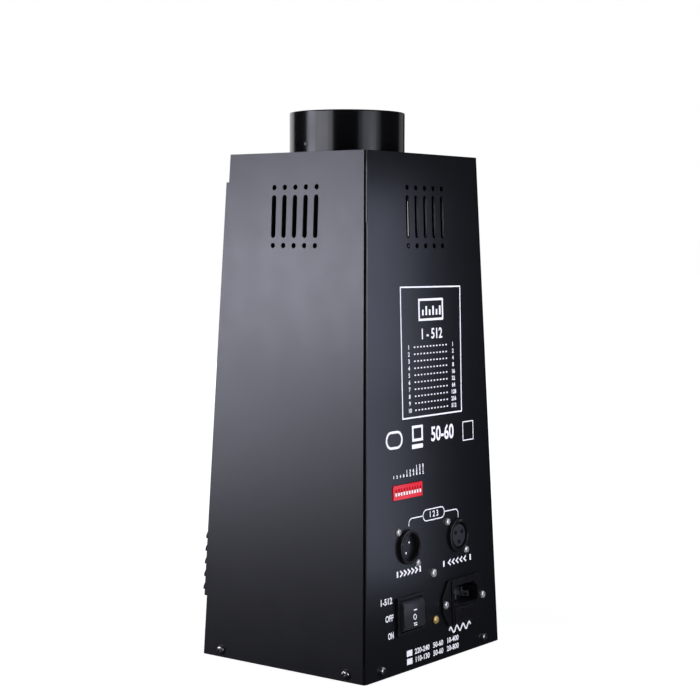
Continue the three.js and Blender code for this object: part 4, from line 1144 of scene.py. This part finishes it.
@dataclass
class SignalSockets:
    """The two round sockets: pins on the left and holes on the right."""

    shop: Workshop
    x_in: float = -30.0
    x_out: float = 31.0
    rise: float = 87.0
    nose: float = 12.0
    bore: float = 9.7
    proud: float = 3.0
    ring: float = 4.7

    def _shell(self, name: str, x: float, floor: float, node: str) -> None:
        """Turns a socket's rim with its rounded lip and its bore.

        Args:
            name: the piece's name.
            x: its place across the panel.
            floor: how deep its bore goes.
            node: the CAD node that it stands for.
        """
        r, b, h = self.nose, self.bore, self.proud
        outline = [
            (0, -22), (11.4, -22), (11.4, -3.6), (r, -3.4), (r, h - 0.7), (r - 0.2, h - 0.2), (r - 0.7, h),
            (b + 1.1, h), (b + 0.9, h - 0.3), (b + 0.7, h - 0.3), (b + 0.5, h), (b + 0.3, h - 0.1), (b, h - 0.6),
            (b, floor), (0, floor),
        ]
        place = Wall.BACK.spot(x, self.rise)
        mesh = bmesh.new()
        revolve(mesh, outline, place, 72)
        key = 1.6
        add_box(mesh, place, (0, b - 0.45, (floor + key) / 2), (2.8, 1.5, key - floor))
        add_box(mesh, place, (0, 0, -2.5), (28, 31, 2))
        self.shop.new_piece(name, mesh, HOUSING, Coat.MOULDED, node)

    def _contacts(self, place: Matrix) -> list[Matrix]:
        """The places of a socket's three contacts."""
        turns = [math.pi / 6 + i * 2 * math.pi / 3 for i in range(3)]
        return [place @ Matrix.Translation((self.ring * math.cos(a), self.ring * math.sin(a), 0)) for a in turns]

    def _insert(self) -> None:
        """The core of the socket with holes, and its release tab."""
        place = Wall.BACK.spot(self.x_out, self.rise)
        core, tools = bmesh.new(), bmesh.new()
        revolve(core, [(0, -6.2), (8.2, -6.2), (8.2, 1.6), (7.8, 2.0), (0, 2.0)], place, 56)
        for spot in self._contacts(place):
            revolve(tools, [(0, -5), (1.45, -5), (1.45, 1.3), (1.9, 2.2), (0, 2.2)], spot, 24)
        self.shop.attach(carve("signal_out_core", core, tools), HOUSING, Coat.PADDLE)
        tab = bmesh.new()
        add_box(tab, place, (0, 10.9, self.proud + 0.3), (4.6, 1.6, 0.6))
        self.shop.new_piece("signal_out_release", tab, HOUSING, Coat.PADDLE)

    def _pins(self) -> None:
        """Three round-ended contact pins on their disc."""
        place = Wall.BACK.spot(self.x_in, self.rise)
        mesh = bmesh.new()
        for spot in self._contacts(place):
            outline = [(0, -8.9), (1.2, -8.9), (1.2, -2.1), (1.05, -1.6), (0.6, -1.3), (0, -1.2)]
            revolve(mesh, outline, spot, 20)
        self.shop.new_piece("signal_in_contacts", mesh, HOUSING, Coat.SCREW, "signal_in_pins")
        disc = bmesh.new()
        revolve(disc, [(0, -10.7), (9.4, -10.7), (9.4, -8.9), (9.1, -8.7), (0, -8.7)], place, 40)
        self.shop.new_piece("signal_in_disc", disc, HOUSING, Coat.MOULDED)

    def build(self) -> None:
        """Builds both sockets."""
        self._shell("signal_in_shell", self.x_in, -10.9, "signal_in_socket")
        self._shell("signal_out_shell", self.x_out, -6.1, "signal_out_socket")
        self._pins()
        self._insert()


@dataclass
class Controls:
    """The slide switches, the rocker switch, the mains inlet and the earth screw."""

    shop: Workshop
    rocker_x: float = -30.3
    paddle_end: float = 5.4
    paddle_dip: float = 4.9
    paddle_reach: float = 6.8

    def build(self) -> None:
        """Dresses the switches and the inlet."""
        shop = self.shop
        self._switch_block()
        for i in range(10):
            shop.rounded(f"slide_switch_{i + 1}", Coat.WHITE, 0.15, 2)
        shop.rounded("rocker_bezel", Coat.MOULDED, 0.5, 3)
        self._paddle()
        shop.rounded("mains_inlet", Coat.MOULDED, 0.4, 3)
        shop.rounded("fuse_drawer", Coat.MOULDED, 0.3, 2)
        shop.dress(Coat.BRIGHT_STEEL, "inlet_blades")
        shop.dress(Coat.GLASS, "fuse")
        shop.dress(Coat.GREEN_LEAD, "earth_lead")
        shop.rounded("earth_screw", Coat.BRASS, 0.3, 2)
        self._paddle_marks()

    def _switch_block(self) -> None:
        """The block of slide switches: a soft-edged block with ten slots."""
        place = Wall.BACK.spot(-29, 126)
        block, slots = bmesh.new(), bmesh.new()
        add_box(block, place, (0, 0, -3.2), (34.6, 10.2, 8))
        bmesh.ops.bevel(
            block, geom=block.edges[:], offset=0.2 * MM, segments=2, profile=0.5, affect="EDGES",
            offset_type="OFFSET",
        )
        for i in range(10):
            add_box(slots, place, ((i - 4.5) * 3.2, 0, 0.6), (2.2, 5.2, 1.2))
        self.shop.attach(carve("switch_block_shell", block, slots), HOUSING, Coat.RED, "switch_block")

    def _paddle(self) -> None:
        """The rocker's paddle, a loft whose ends are rounded off."""
        place = Wall.BACK.spot(self.rocker_x, 40)
        half = [(10.14, -4.0), (10.88, 0.0), (10.4, 2.2), (8.9, 4.2), (self.paddle_reach, self.paddle_end)]
        section = half + [(0.0, self.paddle_dip)] + [(-y, z) for y, z in reversed(half)]
        mesh = bmesh.new()
        rings = []
        for x, sunk in ((-12.4, 0.15), (-12.2, 0.0), (12.2, 0.0), (12.4, 0.15)):
            points = [Vector((x, y, z - (sunk if z > 0 else 0.0))) for y, z in section]
            rings.append([mesh.verts.new(place @ p) for p in points])
        for a, b in zip(rings, rings[1:]):
            for i in range(len(section)):
                k = (i + 1) % len(section)
                mesh.faces.new((a[i], a[k], b[k], b[i]))
        for end in (rings[0], rings[-1]):
            mesh.faces.new(end)
        self.shop.new_piece("rocker_face", mesh, ROCKER, Coat.PADDLE, "rocker_paddle")

    def _paddle_marks(self) -> None:
        """The three position marks on the rocker's face."""

        def lift(x: float, y: float) -> float:
            """The height of the paddle's face."""
            return self.paddle_dip + (self.paddle_end - self.paddle_dip) * abs(y) / self.paddle_reach

        place = Wall.BACK.spot(self.rocker_x, 40)
        ink = Printing(self.shop, "rocker_marks", ROCKER, place, lift)
        ink.strip([(-1.4, 3.5), (2.4, 3.5)], 0.8)
        ink.strip(ink.arc((0.1, -1.4), 1.7, 0, 336, 14), 0.65, closed=True)
        for rise in (-5.6, -7.0):
            ink.strip([(-1.9, rise), (1.9, rise)], 0.7)
        ink.finish()


@dataclass
class InnerWorks:
    """What stands behind the door: the can, the lever, the coil and the electrics."""

    shop: Workshop

    def build(self) -> None:
        """Dresses the inner pieces."""
        bright = (
            "can_clip", "press_lever", "lever_bracket", "lever_pin", "solenoid_plunger", "solenoid_bracket",
            "power_supply",
        )
        for coat, nodes in (
            (Coat.CAN, ("gas_can",)), (Coat.MOULDED, ("can_cradle", "spark_coil")), (Coat.BRIGHT_STEEL, bright),
            (Coat.DARK_STEEL, ("solenoid",)), (Coat.BRASS, ("jet_tube",)),
            (Coat.RED_LEAD, ("spark_lead_left", "spark_lead_right")), (Coat.BOARD, ("control_board",)),
        ):
            self.shop.dress(coat, *nodes)


def main() -> None:
    """Builds the studio and every sub-assembly."""
    logging.basicConfig(level=logging.INFO, format="%(name)s %(message)s")
    Studio().build()
    shop = Workshop()
    for assembly in (Housing, Door, Barrel, SignalSockets, Controls, InnerWorks, Screws, BackPrint):
        assembly(shop).build()


if __name__ == "__main__":
    main()
